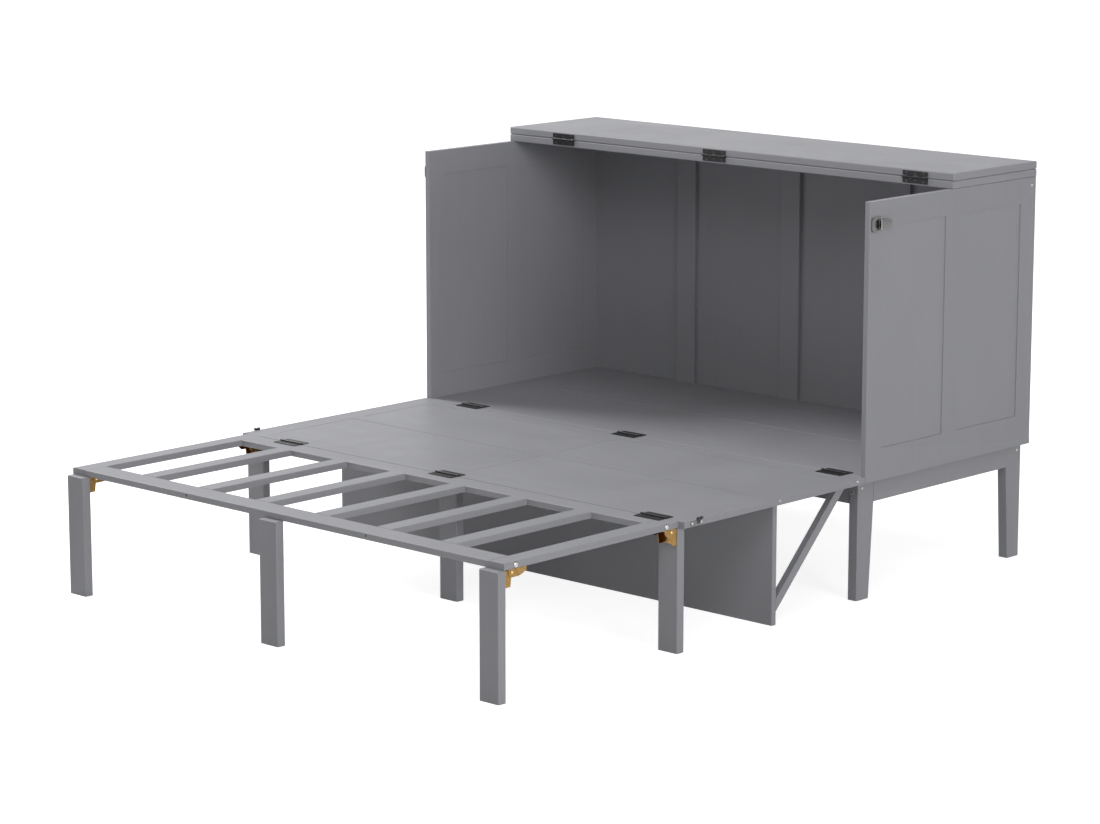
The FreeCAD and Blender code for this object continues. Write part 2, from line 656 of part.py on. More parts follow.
def rivet(pivot_y):
    outer = FRAME_HALF - BRACKET_SIDE
    inner = outer - BRACKET_WIDTH
    shank = rod(RIVET_R, BRACKET_WIDTH + 2 * RIVET_HEAD, V(inner - RIVET_HEAD, pivot_y, PIVOT_Z), X_AXIS)
    far_head = rod(RIVET_HEAD_R, RIVET_HEAD, V(inner - RIVET_HEAD, pivot_y, PIVOT_Z), X_AXIS)
    near_head = rod(RIVET_HEAD_R, RIVET_HEAD, V(outer, pivot_y, PIVOT_Z), X_AXIS)
    return shank.fuse(far_head).fuse(near_head).removeSplitter()


side_post_x = FRAME_HALF - POST_WIDTH
centre_post_x = CENTRE_POST_OFFSET - POST_WIDTH / 2
foot_post = post(side_post_x, FOOT_POST_FRONT)
mid_post = post(side_post_x, MID_POST_FACE)
save("foot_leg_right", foot_post)
save("foot_leg_left", mirrored(foot_post))
save("foot_leg_centre", post(centre_post_x, FOOT_POST_FRONT))
save("mid_leg_right", mid_post)
save("mid_leg_left", mirrored(mid_post))
save("mid_leg_centre", post(centre_post_x, MID_POST_FACE))

foot_bracket = bracket(FOOT_PIVOT_Y, 1, FOOT_BRACKET_TAIL)
mid_bracket = bracket(MID_PIVOT_Y, -1, MID_BRACKET_TAIL)
save("leg_brackets", foot_bracket, to_left_leg(foot_bracket), mid_bracket, to_left_leg(mid_bracket))
foot_channel = channel(FOOT_PIVOT_Y, FOOT_POST_FACE, 1)
mid_channel = channel(MID_PIVOT_Y, MID_POST_FACE, -1)
save("foot_leg_channel_right", foot_channel)
save("foot_leg_channel_left", to_left_leg(foot_channel))
save("mid_leg_channel_right", mid_channel)
save("mid_leg_channel_left", to_left_leg(mid_channel))

post_outer = butt_leaf(LEG_HINGE_LENGTH, HINGE_LEAF, True)
post_inner = butt_leaf(LEG_HINGE_LENGTH, HINGE_LEAF, False)
post_pin = hinge_pin(LEG_HINGE_LENGTH)
foot_hinge = (FOOT_HINGE_Y, POST_HINGE_Z)
mid_hinge = (MID_HINGE_Y, POST_HINGE_Z)
save("foot_leg_centre_leaf", seat(post_inner, CENTRE_POST_OFFSET, foot_hinge, -90))
save("mid_leg_centre_leaf", seat(post_inner, CENTRE_POST_OFFSET, mid_hinge, 90, True))
rivets = []
for y in (FOOT_PIVOT_Y, MID_PIVOT_Y):
    rivets += [rivet(y), to_left_leg(rivet(y))]
post_pins = [seat(post_pin, CENTRE_POST_OFFSET, foot_hinge), seat(post_pin, CENTRE_POST_OFFSET, mid_hinge)]
save("leg_pivot_pins", *rivets, *post_pins)

frame_leaves = [seat(long_inner, x, DECK_PIN, 0, True) for x in DECK_HINGE_X]
frame_leaves.append(seat(post_outer, CENTRE_POST_OFFSET, foot_hinge, 180, True))
frame_leaves.append(seat(post_outer, CENTRE_POST_OFFSET, mid_hinge, 180))
save("frame_hinge_leaves", *frame_leaves)


# ---- support panel and its two braces --------------------------------------------------------
def support_panel():
    board = block(SUPPORT_X0, SUPPORT_X1, SUPPORT_FRONT, SUPPORT_REAR, 0, FLOOR_UNDER - SUPPORT_GAP)
    return eased(board, ARRIS, Z_AXIS)


def brace():
    """Side view: a sloping bar cut upright at the panel and level under the deck."""
    rise = math.tan(math.radians(BRACE_SLOPE))
    half = BRACE_WIDTH / 2 / math.cos(math.radians(BRACE_SLOPE))
    foot_y = SUPPORT_REAR + BRACE_GAP
    top_z = FLOOR_UNDER - BRACE_GAP
    low = BRACE_FOOT - half
    high = BRACE_FOOT + half
    outline = [
        (0, foot_y, low),
        (0, foot_y + (top_z - low) / rise, top_z),
        (0, foot_y + (top_z - high) / rise, top_z),
        (0, foot_y, high),
    ]
    return plate(polygon(outline), V(BRACE_THICK, 0, 0))


save("support_panel", support_panel())
brace_right = brace()
brace_right.translate(V(SUPPORT_OFFSET + BRACE_IN, 0, 0))
brace_left = brace()
brace_left.translate(V(SUPPORT_OFFSET - BRACE_OUT, 0, 0))
save("brace_right", brace_right)
save("brace_left", brace_left)

brace_outer = butt_leaf(BRACE_HINGE_LENGTH, BRACE_HINGE_LEAF, True)
brace_inner = butt_leaf(BRACE_HINGE_LENGTH, BRACE_HINGE_LEAF, False)
brace_pin = hinge_pin(BRACE_HINGE_LENGTH)
BRACE_PIN_Y = SUPPORT_REAR + BARREL_R
right_pin = V(SUPPORT_OFFSET + BRACE_IN - BARREL_R, BRACE_PIN_Y, BRACE_HINGE_Z)
left_pin = V(SUPPORT_OFFSET - BRACE_IN + BARREL_R, BRACE_PIN_Y, BRACE_HINGE_Z)
panel_leaf_right = stand_upright(brace_outer, -90, right_pin).mirror(right_pin, X_AXIS)
panel_leaf_left = stand_upright(brace_outer, -90, left_pin)
brace_leaf_right = stand_upright(brace_inner, 0, right_pin)
brace_leaf_left = stand_upright(brace_inner, 0, left_pin).mirror(left_pin, X_AXIS)
support_leaves = [seat(support_inner, x, SUPPORT_PIN, 90, True) for x in SUPPORT_HINGE_X]
save("support_hinge_leaves", *support_leaves, panel_leaf_right, panel_leaf_left)
save("brace_leaf_right", brace_leaf_right)
save("brace_leaf_left", brace_leaf_left)
save("brace_hinge_pins", stand_upright(brace_pin, 0, right_pin), stand_upright(brace_pin, 0, left_pin))


# ---- draw latches ----------------------------------------------------------------------------
PIVOT_X = HALF + LATCH_PIVOT_X
LOOP_PIVOT_Y = LATCH_PIVOT_Y + LATCH_THROW
LOOP_FRONT = LOOP_PIVOT_Y - LOOP_REACH


def across(radius, x, y, reach):
    """A round pin or lobe that stands upright across the latch."""
    return rod(radius, 2 * reach, V(x, y, LATCH_HEIGHT - reach), Z_AXIS)


def ear(z0, thick, y, lobe, root_x):
    """An ear from a plate out to a pivot."""
    lobe_disc = rod(lobe, thick, V(PIVOT_X, y, z0), Z_AXIS)
    stem = block(min(root_x, PIVOT_X), max(root_x, PIVOT_X), y - lobe, y + lobe, z0, z0 + thick)
    return lobe_disc.fuse(stem)


def latch_base():
    y0 = LATCH_PIVOT_Y - EAR_R - 4
    base = block(HALF, HALF + BASE_SHEET, y0, y0 + BASE_LENGTH,
                 LATCH_HEIGHT - BASE_HALF, LATCH_HEIGHT + BASE_HALF)
    base = rounded(base, 3.0, X_AXIS)
    for z0 in (LATCH_HEIGHT - BASE_HALF, LATCH_HEIGHT + BASE_HALF - BASE_SHEET):
        base = base.fuse(ear(z0, BASE_SHEET, LATCH_PIVOT_Y, EAR_R, HALF))
    pin = across(LATCH_PIN_R, PIVOT_X, LATCH_PIVOT_Y, CHEEK_AT + CHEEK_SHEET + 0.5)
    return base.fuse(pin).removeSplitter()


def latch_lever():
    """A plate over the pivots, narrowing to its free end, with a cheek down each side."""
    x0 = PIVOT_X + LEVER_RISE
    y0 = LATCH_PIVOT_Y + 2
    y1 = LATCH_PIVOT_Y + LEVER_LENGTH
    narrow = LEVER_HALF * LEVER_TAPER
    outline = [
        (x0, y0, LATCH_HEIGHT - LEVER_HALF),
        (x0, y0, LATCH_HEIGHT + LEVER_HALF),
        (x0, y1 - LEVER_NOSE, LATCH_HEIGHT + narrow),
        (x0, y1, LATCH_HEIGHT + narrow - LEVER_NOSE),
        (x0, y1, LATCH_HEIGHT - narrow + LEVER_NOSE),
        (x0, y1 - LEVER_NOSE, LATCH_HEIGHT - narrow),
    ]
    lever = plate(polygon(outline), V(LEVER_SHEET, 0, 0))
    for z0 in (LATCH_HEIGHT - CHEEK_AT - CHEEK_SHEET, LATCH_HEIGHT + CHEEK_AT):
        lever = lever.fuse(ear(z0, CHEEK_SHEET, LOOP_PIVOT_Y, CHEEK_R, x0 + 0.5))
        lobe = rod(CHEEK_R - 0.6, CHEEK_SHEET, V(PIVOT_X, LATCH_PIVOT_Y, z0), Z_AXIS)
        link = block(PIVOT_X - 2, x0 + 0.5, LATCH_PIVOT_Y + 2, LOOP_PIVOT_Y, z0, z0 + CHEEK_SHEET)
        lever = lever.fuse(lobe).fuse(link)
    for y in (LATCH_PIVOT_Y, LOOP_PIVOT_Y):
        lever = lever.cut(across(LATCH_PIN_R + PIN_FIT, PIVOT_X, y, LEVER_HALF))
    return lever.removeSplitter()


def latch_loop():
    """A stamped loop: a wide rounded band in front, two arms, and a stub pin on each arm."""
    x0 = PIVOT_X - LOOP_THICK / 2
    rear = LOOP_PIVOT_Y + 4
    loop = block(x0, x0 + LOOP_THICK, LOOP_FRONT, rear, LATCH_HEIGHT - LOOP_HALF, LATCH_HEIGHT + LOOP_HALF)
    front_corners = [e for e in edges_along(loop, X_AXIS) if e.CenterOfMass.y < LOOP_FRONT + 1]
    loop = loop.makeFillet(LOOP_ROUND, front_corners)
    window = block(x0 - 1, x0 + LOOP_THICK + 1, LOOP_FRONT + LOOP_BAND, rear + 1,
                   LATCH_HEIGHT - LOOP_WINDOW, LATCH_HEIGHT + LOOP_WINDOW)
    loop = loop.cut(window)
    stub = LOOP_WINDOW + 1 - CHEEK_AT
    for z0 in (LATCH_HEIGHT + CHEEK_AT, LATCH_HEIGHT - CHEEK_AT - stub):
        loop = loop.fuse(rod(LATCH_PIN_R, stub, V(PIVOT_X, LOOP_PIVOT_Y, z0), Z_AXIS))
    return loop.removeSplitter()


def keeper():
    """A plate on the edge of the deck whose hook reaches past the deck's inner face."""
    hook_y = -(LATCH_HEIGHT - FLOOR_PIN[1] - HINGE_GAP / 2)
    y1 = hook_y + KEEPER_HOOK / 2
    low = FLOOR_UNDER + 3
    high = FLOOR_TOP - 2
    tip = FLOOR_TOP + BARREL_R + KEEPER_TONGUE - 0.8
    base = block(HALF, HALF + BASE_SHEET, y1 - KEEPER_LENGTH, y1, low, high)
    base = rounded(base, 3.0, X_AXIS)
    tongue = block(HALF, HALF + BASE_SHEET, y1 - KEEPER_HOOK, y1, high - KEEPER_INSET, tip)
    lip = block(HALF, HALF + BASE_SHEET + KEEPER_LIP, y1 - KEEPER_HOOK, y1, tip - BASE_SHEET, tip)
    return base.fuse(tongue).fuse(lip).removeSplitter()


for name, piece in (("lever", latch_lever()), ("loop", latch_loop())):
    save("latch_" + name + "_right", piece)
    save("latch_" + name + "_left", mirrored(piece))
save("latch_bases", latch_base(), mirrored(latch_base()))
save("latch_keepers", keeper(), mirrored(keeper()))


# ---- screws whose heads show -----------------------------------------------------------------
def screw_head(place, direction):
    head = rod(SCREW_R, SCREW_HEAD, place, direction)
    return head.makeChamfer(SCREW_HEAD / 2, [head.Edges[0]])


leg_screw_z = FLOOR_UNDER - LEG_SCREW_DOWN
side_screws = [
    screw_head(V(LEG_OUT, LEG_FRONT + LEG_SCREW_FRONT, leg_screw_z), X_AXIS),
    screw_head(V(LEG_OUT, LEG_REAR - LEG_SCREW_REAR, leg_screw_z), X_AXIS),
    screw_head(V(HALF, SIDE_DEPTH - TOP_SCREW_IN, SIDE_TOP - TOP_SCREW_DOWN), X_AXIS),
    screw_head(V(LEG_OUT - FACE_SCREW_IN, LEG_FRONT, FLOOR_UNDER - FACE_SCREW_DOWN), -Y_AXIS),
]
save("cabinet_screws", *side_screws, *[mirrored(screw) for screw in side_screws])
deck_screws = []
for y in (-DECK_SCREW_HEAD, -DECK_SCREW_MIDDLE):
    deck_screws.append(screw_head(V(HALF, y, FLOOR_TOP - DECK_SCREW_DOWN), X_AXIS))
save("deck_screws", *deck_screws, *[mirrored(screw) for screw in deck_screws])
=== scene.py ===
import math

import bmesh
import bpy
from mathutils import Matrix, Vector


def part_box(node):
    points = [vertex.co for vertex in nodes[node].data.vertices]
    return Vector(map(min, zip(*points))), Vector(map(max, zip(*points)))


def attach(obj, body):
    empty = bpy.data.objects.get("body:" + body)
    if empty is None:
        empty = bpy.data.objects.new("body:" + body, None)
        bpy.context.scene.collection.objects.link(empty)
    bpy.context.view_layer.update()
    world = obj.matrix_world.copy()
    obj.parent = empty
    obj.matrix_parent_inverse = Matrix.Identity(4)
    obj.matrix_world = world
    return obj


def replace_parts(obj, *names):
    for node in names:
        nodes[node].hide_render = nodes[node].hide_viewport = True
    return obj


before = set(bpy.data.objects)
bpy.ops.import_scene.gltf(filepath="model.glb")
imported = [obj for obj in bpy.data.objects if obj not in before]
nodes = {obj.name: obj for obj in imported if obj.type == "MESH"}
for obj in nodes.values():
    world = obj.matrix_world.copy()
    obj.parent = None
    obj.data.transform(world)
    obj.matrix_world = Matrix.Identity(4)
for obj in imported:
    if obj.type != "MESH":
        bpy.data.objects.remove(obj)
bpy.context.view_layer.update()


# ---- The view --------------------------------------------------------------------------------
# The open bed is seen from beyond its foot end, to the right, from a little above head height,
# through a long lens that keeps its far edges nearly parallel.
PHOTO_WIDTH = 1100
LENS_PIXELS = 3447.7
FILM_WIDTH = 36.0
EYE = Vector((6.2810, -6.6895, 2.2450))
EYE_TURN = math.radians(43.302)
EYE_DOWN = math.radians(11.062)

lens = bpy.data.cameras.new("long_lens")
lens.sensor_width = FILM_WIDTH
lens.lens = LENS_PIXELS / PHOTO_WIDTH * FILM_WIDTH
camera = bpy.data.objects.new("camera", lens)
camera.location = EYE
camera.rotation_euler = (math.pi / 2 - EYE_DOWN, 0, EYE_TURN)
bpy.context.scene.collection.objects.link(camera)
bpy.context.scene.camera = camera
bpy.context.scene.view_settings.view_transform = "Standard"


# ---- Studio floor and light ------------------------------------------------------------------
# A plain pale floor in a white room. Five wide soft lamps stand round the bed: the strongest to
# its left, a low one to its right. The floor shows white to the camera and in polished metal,
# and near the bed it is a little greyer, so that it keeps the bed's shadow.
FLOOR_HALF = 40.0
FLOOR_GREY = 0.55
FLOOR_NEAR, FLOOR_FAR = 0.82, 1.0
NEAR_REACH, FAR_REACH = 2.2, 6.0
ROOM_LIGHT = 0.15
LAMP_SIZE = 4.0
LAMP_AIM = Vector((0.0, 0.0, 0.6))
LAMPS = {
    "left_lamp": ((-7.0, -0.5, 5.0), 735.0),
    "right_lamp": ((8.0, -2.0, 2.2), 300.0),
    "foot_lamp": ((4.6, -5.5, 5.5), 150.0),
    "overhead_lamp": ((0.0, -1.0, 8.5), 60.0),
    "back_lamp": ((1.5, 7.5, 4.0), 90.0),
}


def put(tree, kind, settings=None, **sockets):
    """A shader node with its settings and its sockets' values; links are made by the caller."""
    node = tree.nodes.new("ShaderNode" + kind)
    for name, value in (settings or {}).items():
        setattr(node, name, value)
    for name, value in sockets.items():
        node.inputs[name.replace("_", " ")].default_value = value
    return node


def seen_directly(tree):
    """1 for a ray from the camera, or one that metal or glass sends on, else 0."""
    path = put(tree, "LightPath")
    both = put(tree, "Math", {"operation": "MAXIMUM"})
    tree.links.new(path.outputs["Is Camera Ray"], both.inputs[0])
    tree.links.new(path.outputs["Is Glossy Ray"], both.inputs[1])
    every = put(tree, "Math", {"operation": "MAXIMUM"})
    tree.links.new(both.outputs[0], every.inputs[0])
    tree.links.new(path.outputs["Is Transmission Ray"], every.inputs[1])
    return every.outputs[0]


room = bpy.data.worlds.new("white_room")
room.use_nodes = True
bpy.context.scene.world = room
room.node_tree.nodes.clear()
soft = put(room.node_tree, "Background", Color=(1, 1, 1, 1), Strength=ROOM_LIGHT)
plain = put(room.node_tree, "Background", Color=(1, 1, 1, 1), Strength=1.0)
either = put(room.node_tree, "MixShader")
sky = put(room.node_tree, "OutputWorld")
room.node_tree.links.new(seen_directly(room.node_tree), either.inputs[0])
room.node_tree.links.new(soft.outputs[0], either.inputs[1])
room.node_tree.links.new(plain.outputs[0], either.inputs[2])
room.node_tree.links.new(either.outputs[0], sky.inputs["Surface"])

floor_paint = bpy.data.materials.new("studio_floor")
floor_paint.use_nodes = True
floor_tree = floor_paint.node_tree
floor_tree.nodes.clear()
matt = put(floor_tree, "BsdfDiffuse", Color=(FLOOR_GREY, FLOOR_GREY, FLOOR_GREY, 1))
glow = put(floor_tree, "Emission", Color=(1, 1, 1, 1))
glow_level = put(floor_tree, "Math", {"operation": "MULTIPLY"})
floor_spot = put(floor_tree, "TexCoord")
floor_reach = put(floor_tree, "VectorMath", {"operation": "LENGTH"})
floor_fade = put(floor_tree, "MapRange", From_Min=NEAR_REACH, From_Max=FAR_REACH,
                 To_Min=FLOOR_NEAR, To_Max=FLOOR_FAR)
floor_tree.links.new(floor_spot.outputs["Object"], floor_reach.inputs[0])
floor_tree.links.new(floor_reach.outputs["Value"], floor_fade.inputs["Value"])
floor_tree.links.new(floor_fade.outputs["Result"], glow_level.inputs[1])
floor_sum = put(floor_tree, "AddShader")
floor_out = put(floor_tree, "OutputMaterial")
floor_tree.links.new(seen_directly(floor_tree), glow_level.inputs[0])
floor_tree.links.new(glow_level.outputs[0], glow.inputs["Strength"])
floor_tree.links.new(matt.outputs[0], floor_sum.inputs[0])
floor_tree.links.new(glow.outputs[0], floor_sum.inputs[1])
floor_tree.links.new(floor_sum.outputs[0], floor_out.inputs["Surface"])

floor_mesh = bpy.data.meshes.new("studio_floor")
floor_mesh.from_pydata(
    [(-FLOOR_HALF, -FLOOR_HALF, 0), (FLOOR_HALF, -FLOOR_HALF, 0),
     (FLOOR_HALF, FLOOR_HALF, 0), (-FLOOR_HALF, FLOOR_HALF, 0)], [], [(0, 1, 2, 3)])
floor_mesh.materials.append(floor_paint)
studio_floor = bpy.data.objects.new("studio_floor", floor_mesh)
bpy.context.scene.collection.objects.link(studio_floor)

for lamp_name, (lamp_place, lamp_watts) in LAMPS.items():
    lamp_data = bpy.data.lights.new(lamp_name, "AREA")
    lamp_data.shape = "DISK"
    lamp_data.size = LAMP_SIZE
    lamp_data.energy = lamp_watts
    lamp = bpy.data.objects.new(lamp_name, lamp_data)
    lamp.location = lamp_place
    lamp.rotation_euler = (LAMP_AIM - Vector(lamp_place)).to_track_quat("-Z", "Y").to_euler()
    bpy.context.scene.collection.objects.link(lamp)


# ---- Grey paint ------------------------------------------------------------------------------
# Every wooden piece is sprayed a cool mid grey with a satin finish: a fine stipple in the film and
# the board's grain just telling through it. A lighter grey along each edge is a painted highlight.
PAINT_GREY = (0.276, 0.277, 0.296, 1)
# painted highlight: the lighter grey laid along edges and into tight corners
PAINT_EDGE_HIGHLIGHT = (0.322, 0.323, 0.343, 1)
PAINT_SHINE = 0.50
PAINT_SHINE_SPREAD = 0.08
PAINT_GLOSS = 0.32
PAINT_DEPTH = 0.00035


def effect(name, inputs, outputs):
    """An empty shader group with named inputs and outputs."""
    group = bpy.data.node_groups.new(name, "ShaderNodeTree")
    for label, kind, value in inputs:
        socket = group.interface.new_socket(label, in_out="INPUT", socket_type=kind)
        socket.default_value = value
    for label, kind in outputs:
        group.interface.new_socket(label, in_out="OUTPUT", socket_type=kind)
    return group, group.nodes.new("NodeGroupInput"), group.nodes.new("NodeGroupOutput")


def grain_effect():
    """Long streaks that run along the board: squash is small on the axis of the grain."""
    group, given, made = effect(
        "board_grain",
        [("Squash", "NodeSocketVector", (1, 1, 1)), ("Scale", "NodeSocketFloat", 90.0)],
        [("Streak", "NodeSocketFloat"), ("Figure", "NodeSocketFloat")])
    here = put(group, "TexCoord")
    drawn = put(group, "VectorMath", {"operation": "MULTIPLY"})
    fine = put(group, "TexNoise", Detail=5.0, Roughness=0.62, Distortion=0.35)
    quarter = put(group, "Math", {"operation": "MULTIPLY"})
    quarter.inputs[1].default_value = 0.22
    broad = put(group, "TexNoise", Detail=2.0, Roughness=0.5, Distortion=1.4)
    links = group.links
    links.new(here.outputs["Object"], drawn.inputs[0])
    links.new(given.outputs["Squash"], drawn.inputs[1])
    links.new(drawn.outputs[0], fine.inputs["Vector"])
    links.new(drawn.outputs[0], broad.inputs["Vector"])
    links.new(given.outputs["Scale"], fine.inputs["Scale"])
    links.new(given.outputs["Scale"], quarter.inputs[0])
    links.new(quarter.outputs[0], broad.inputs["Scale"])
    links.new(fine.outputs["Fac"], made.inputs["Streak"])
    links.new(broad.outputs["Fac"], made.inputs["Figure"])
    return group


def stipple_effect():
    """The skin of a sprayed or plated film: a fine dimple with a slow ripple under it."""
    group, given, made = effect(
        "film_stipple",
        [("Scale", "NodeSocketFloat", 1100.0), ("Ripple", "NodeSocketFloat", 0.4)],
        [("Height", "NodeSocketFloat")])
    here = put(group, "TexCoord")
    dimple = put(group, "TexNoise", Detail=1.0, Roughness=0.4)
    slow = put(group, "TexNoise", Scale=55.0, Detail=2.0, Roughness=0.5)
    swell = put(group, "Math", {"operation": "MULTIPLY"})
    both = put(group, "Math", {"operation": "ADD"})
    links = group.links
    links.new(here.outputs["Object"], dimple.inputs["Vector"])
    links.new(here.outputs["Object"], slow.inputs["Vector"])
    links.new(given.outputs["Scale"], dimple.inputs["Scale"])
    links.new(slow.outputs["Fac"], swell.inputs[0])
    links.new(given.outputs["Ripple"], swell.inputs[1])
    links.new(dimple.outputs["Fac"], both.inputs[0])
    links.new(swell.outputs[0], both.inputs[1])
    links.new(both.outputs[0], made.inputs["Height"])
    return group


def edge_effect():
    """1 along an outside edge and in a tight corner, broken up by noise, else 0."""
    # The mask lays painted highlights on the paint and the plating, and real wear on the black
    # enamel.
    group, given, made = effect(
        "edge_wear_and_highlight",
        [("Reach", "NodeSocketFloat", 0.0015), ("Gain", "NodeSocketFloat", 3.0),
         ("Breakup", "NodeSocketFloat", 0.5)],
        [("Mask", "NodeSocketFloat")])
    soft_normal = put(group, "Bevel", {"samples": 6})
    true_normal = put(group, "NewGeometry")
    alike = put(group, "VectorMath", {"operation": "DOT_PRODUCT"})
    turned = put(group, "Math", {"operation": "SUBTRACT"})
    turned.inputs[0].default_value = 1.0
    gained = put(group, "Math", {"operation": "MULTIPLY"})
    here = put(group, "TexCoord")
    patch = put(group, "TexNoise", Scale=38.0, Detail=4.0, Roughness=0.65)
    kept = put(group, "Math", {"operation": "MULTIPLY"})
    worn = put(group, "Math", {"operation": "SUBTRACT", "use_clamp": True})
    links = group.links
    links.new(given.outputs["Reach"], soft_normal.inputs["Radius"])
    links.new(soft_normal.outputs["Normal"], alike.inputs[0])
    links.new(true_normal.outputs["Normal"], alike.inputs[1])
    links.new(alike.outputs["Value"], turned.inputs[1])
    links.new(turned.outputs[0], gained.inputs[0])
    links.new(given.outputs["Gain"], gained.inputs[1])
    links.new(here.outputs["Object"], patch.inputs["Vector"])
    links.new(patch.outputs["Fac"], kept.inputs[0])
    links.new(given.outputs["Breakup"], kept.inputs[1])
    links.new(gained.outputs[0], worn.inputs[0])
    links.new(kept.outputs[0], worn.inputs[1])
    links.new(worn.outputs[0], made.inputs["Mask"])
    return group


def handling_effect():
    """Slow drifts in the shine where a surface has been wiped and leant on."""
    group, given, made = effect(
        "handled_shine",
        [("Low", "NodeSocketFloat", 0.35), ("High", "NodeSocketFloat", 0.5),
         ("Scale", "NodeSocketFloat", 4.0)],
        [("Roughness", "NodeSocketFloat")])
    here = put(group, "TexCoord")
    cloud = put(group, "TexNoise", Detail=6.0, Roughness=0.6, Distortion=0.6)
    spread = put(group, "MapRange", From_Min=0.3, From_Max=0.7)
    links = group.links
    links.new(here.outputs["Object"], cloud.inputs["Vector"])
    links.new(given.outputs["Scale"], cloud.inputs["Scale"])
    links.new(cloud.outputs["Fac"], spread.inputs["Value"])
    links.new(given.outputs["Low"], spread.inputs["To Min"])
    links.new(given.outputs["High"], spread.inputs["To Max"])
    links.new(spread.outputs["Result"], made.inputs["Roughness"])
    return group


def board_effect():
    """A small even change of tone from one separate board to the next."""
    group, given, made = effect(
        "board_tone",
        [("Spread", "NodeSocketFloat", 0.05)], [("Tone", "NodeSocketFloat")])
    board = put(group, "NewGeometry")
    low = put(group, "Math", {"operation": "SUBTRACT"})
    low.inputs[0].default_value = 1.0
    span = put(group, "MapRange", To_Max=1.0)
    links = group.links
    links.new(board.outputs["Random Per Island"], span.inputs["Value"])
    links.new(given.outputs["Spread"], low.inputs[1])
    links.new(low.outputs[0], span.inputs["To Min"])
    links.new(span.outputs["Result"], made.inputs["Tone"])
    return group


board_grain = grain_effect()
film_stipple = stipple_effect()
edge_wear_and_highlight = edge_effect()
handled_shine = handling_effect()
board_tone = board_effect()


def placed_effect(tree, group, **values):
    """A group in a material, with that material's own values."""
    node = tree.nodes.new("ShaderNodeGroup")
    node.node_tree = group
    for name, value in values.items():
        node.inputs[name].default_value = value
    return node


def blank_finish(name):
    """A material with only its shader and its output."""
    finish = bpy.data.materials.new(name)
    finish.use_nodes = True
    finish.node_tree.nodes.clear()
    shader = put(finish.node_tree, "BsdfPrincipled")
    out = put(finish.node_tree, "OutputMaterial")
    finish.node_tree.links.new(shader.outputs["BSDF"], out.inputs["Surface"])
    return finish, finish.node_tree, shader


def scaled_colour(tree, colour_socket, factor_socket):
    """A colour made lighter or darker by a value that changes over the surface."""
    scaled = put(tree, "VectorMath", {"operation": "SCALE"})
    tree.links.new(colour_socket, scaled.inputs[0])
    tree.links.new(factor_socket, scaled.inputs["Scale"])
    return scaled.outputs[0]


def grey_paint(name, squash):
    """The bed's grey, with the grain of a board that runs along its squashed axis."""
    finish, tree, shader = blank_finish(name)
    links = tree.links
    # painted highlight: the edge mask lays the lighter grey along edges
    edge = placed_effect(tree, edge_wear_and_highlight, Reach=0.0022, Gain=3.2, Breakup=0.35)
    colour = put(tree, "Mix", {"data_type": "RGBA"})
    colour.inputs["A"].default_value = PAINT_GREY
    colour.inputs["B"].default_value = PAINT_EDGE_HIGHLIGHT
    links.new(edge.outputs["Mask"], colour.inputs["Factor"])
    tone = placed_effect(tree, board_tone, Spread=0.035)
    by_board = scaled_colour(tree, colour.outputs["Result"], tone.outputs["Tone"])
    grain = placed_effect(tree, board_grain, Squash=squash, Scale=95.0)
    telling = put(tree, "MapRange", From_Min=0.3, From_Max=0.7, To_Min=0.988, To_Max=1.010)
    links.new(grain.outputs["Figure"], telling.inputs["Value"])
    told = scaled_colour(tree, by_board, telling.outputs["Result"])
    links.new(told, shader.inputs["Base Color"])
    shine = placed_effect(tree, handled_shine, Low=PAINT_SHINE - PAINT_SHINE_SPREAD,
                          High=PAINT_SHINE + PAINT_SHINE_SPREAD, Scale=3.5)
    links.new(shine.outputs["Roughness"], shader.inputs["Roughness"])
    shader.inputs["Specular IOR Level"].default_value = PAINT_GLOSS
    skin = placed_effect(tree, film_stipple, Scale=900.0, Ripple=0.6)
    ridges = put(tree, "Math", {"operation": "MULTIPLY_ADD"})
    ridges.inputs[1].default_value = 0.9
    links.new(grain.outputs["Streak"], ridges.inputs[0])
    links.new(skin.outputs["Height"], ridges.inputs[2])
    bump = put(tree, "Bump", Strength=0.10, Distance=PAINT_DEPTH)
    links.new(ridges.outputs[0], bump.inputs["Height"])
    links.new(bump.outputs["Normal"], shader.inputs["Normal"])
    return finish


def coat(finish, *names):
    """Gives CAD nodes a finish in place of the plain colour that they were packed with."""
    for name in names:
        for place in nodes[name].material_slots:
            place.material = finish


paint_across = grey_paint("grey_paint_across", (0.035, 1, 1))
paint_lengthways = grey_paint("grey_paint_lengthways", (1, 0.035, 1))
paint_upright = grey_paint("grey_paint_upright", (1, 1, 0.035))


# ---- Cabinet base ----------------------------------------------------------------------------
# Four tapered legs of solid wood stand at the corners, joined under the floor by four aprons
# that are tenoned between them. The paint's grain runs along each piece.
coat(paint_upright, "base_leg_front_right", "base_leg_front_left")
coat(paint_upright, "base_leg_rear_right", "base_leg_rear_left")
coat(paint_across, "front_apron", "rear_apron", "floor_batten")
coat(paint_lengthways, "side_aprons")


# ---- Cabinet floor, sides, back and top ------------------------------------------------------
# Two floor boards lie on the base with a joint across the cabinet. The sides are stiles and rails
# with thin panels let into grooves. The back is a sheet with three stiffeners; the top folds.
coat(paint_across, "floor_front_board", "floor_rear_board")
coat(paint_upright, "side_frame_right", "side_frame_left", "side_fields")
coat(paint_upright, "back_panel", "back_mullions")
coat(paint_across, "fixed_top", "top_flap")


# ---- Deck ------------------------------------------------------------------------------------
# The cabinet's front, let down: a frame of stiles and rails round four thin panels, hinged to the
# floor so that its inner face lies level with it. Filler and paint have nearly levelled the panels
# with the frame on this side, and left a soft rounded line round each.
FIELD_TONGUE = 0.0088
FIELD_SINK = 0.0004
FIELD_EASE = 0.0006
FIELD_BACK = 0.0025

coat(paint_across, "deck_frame")


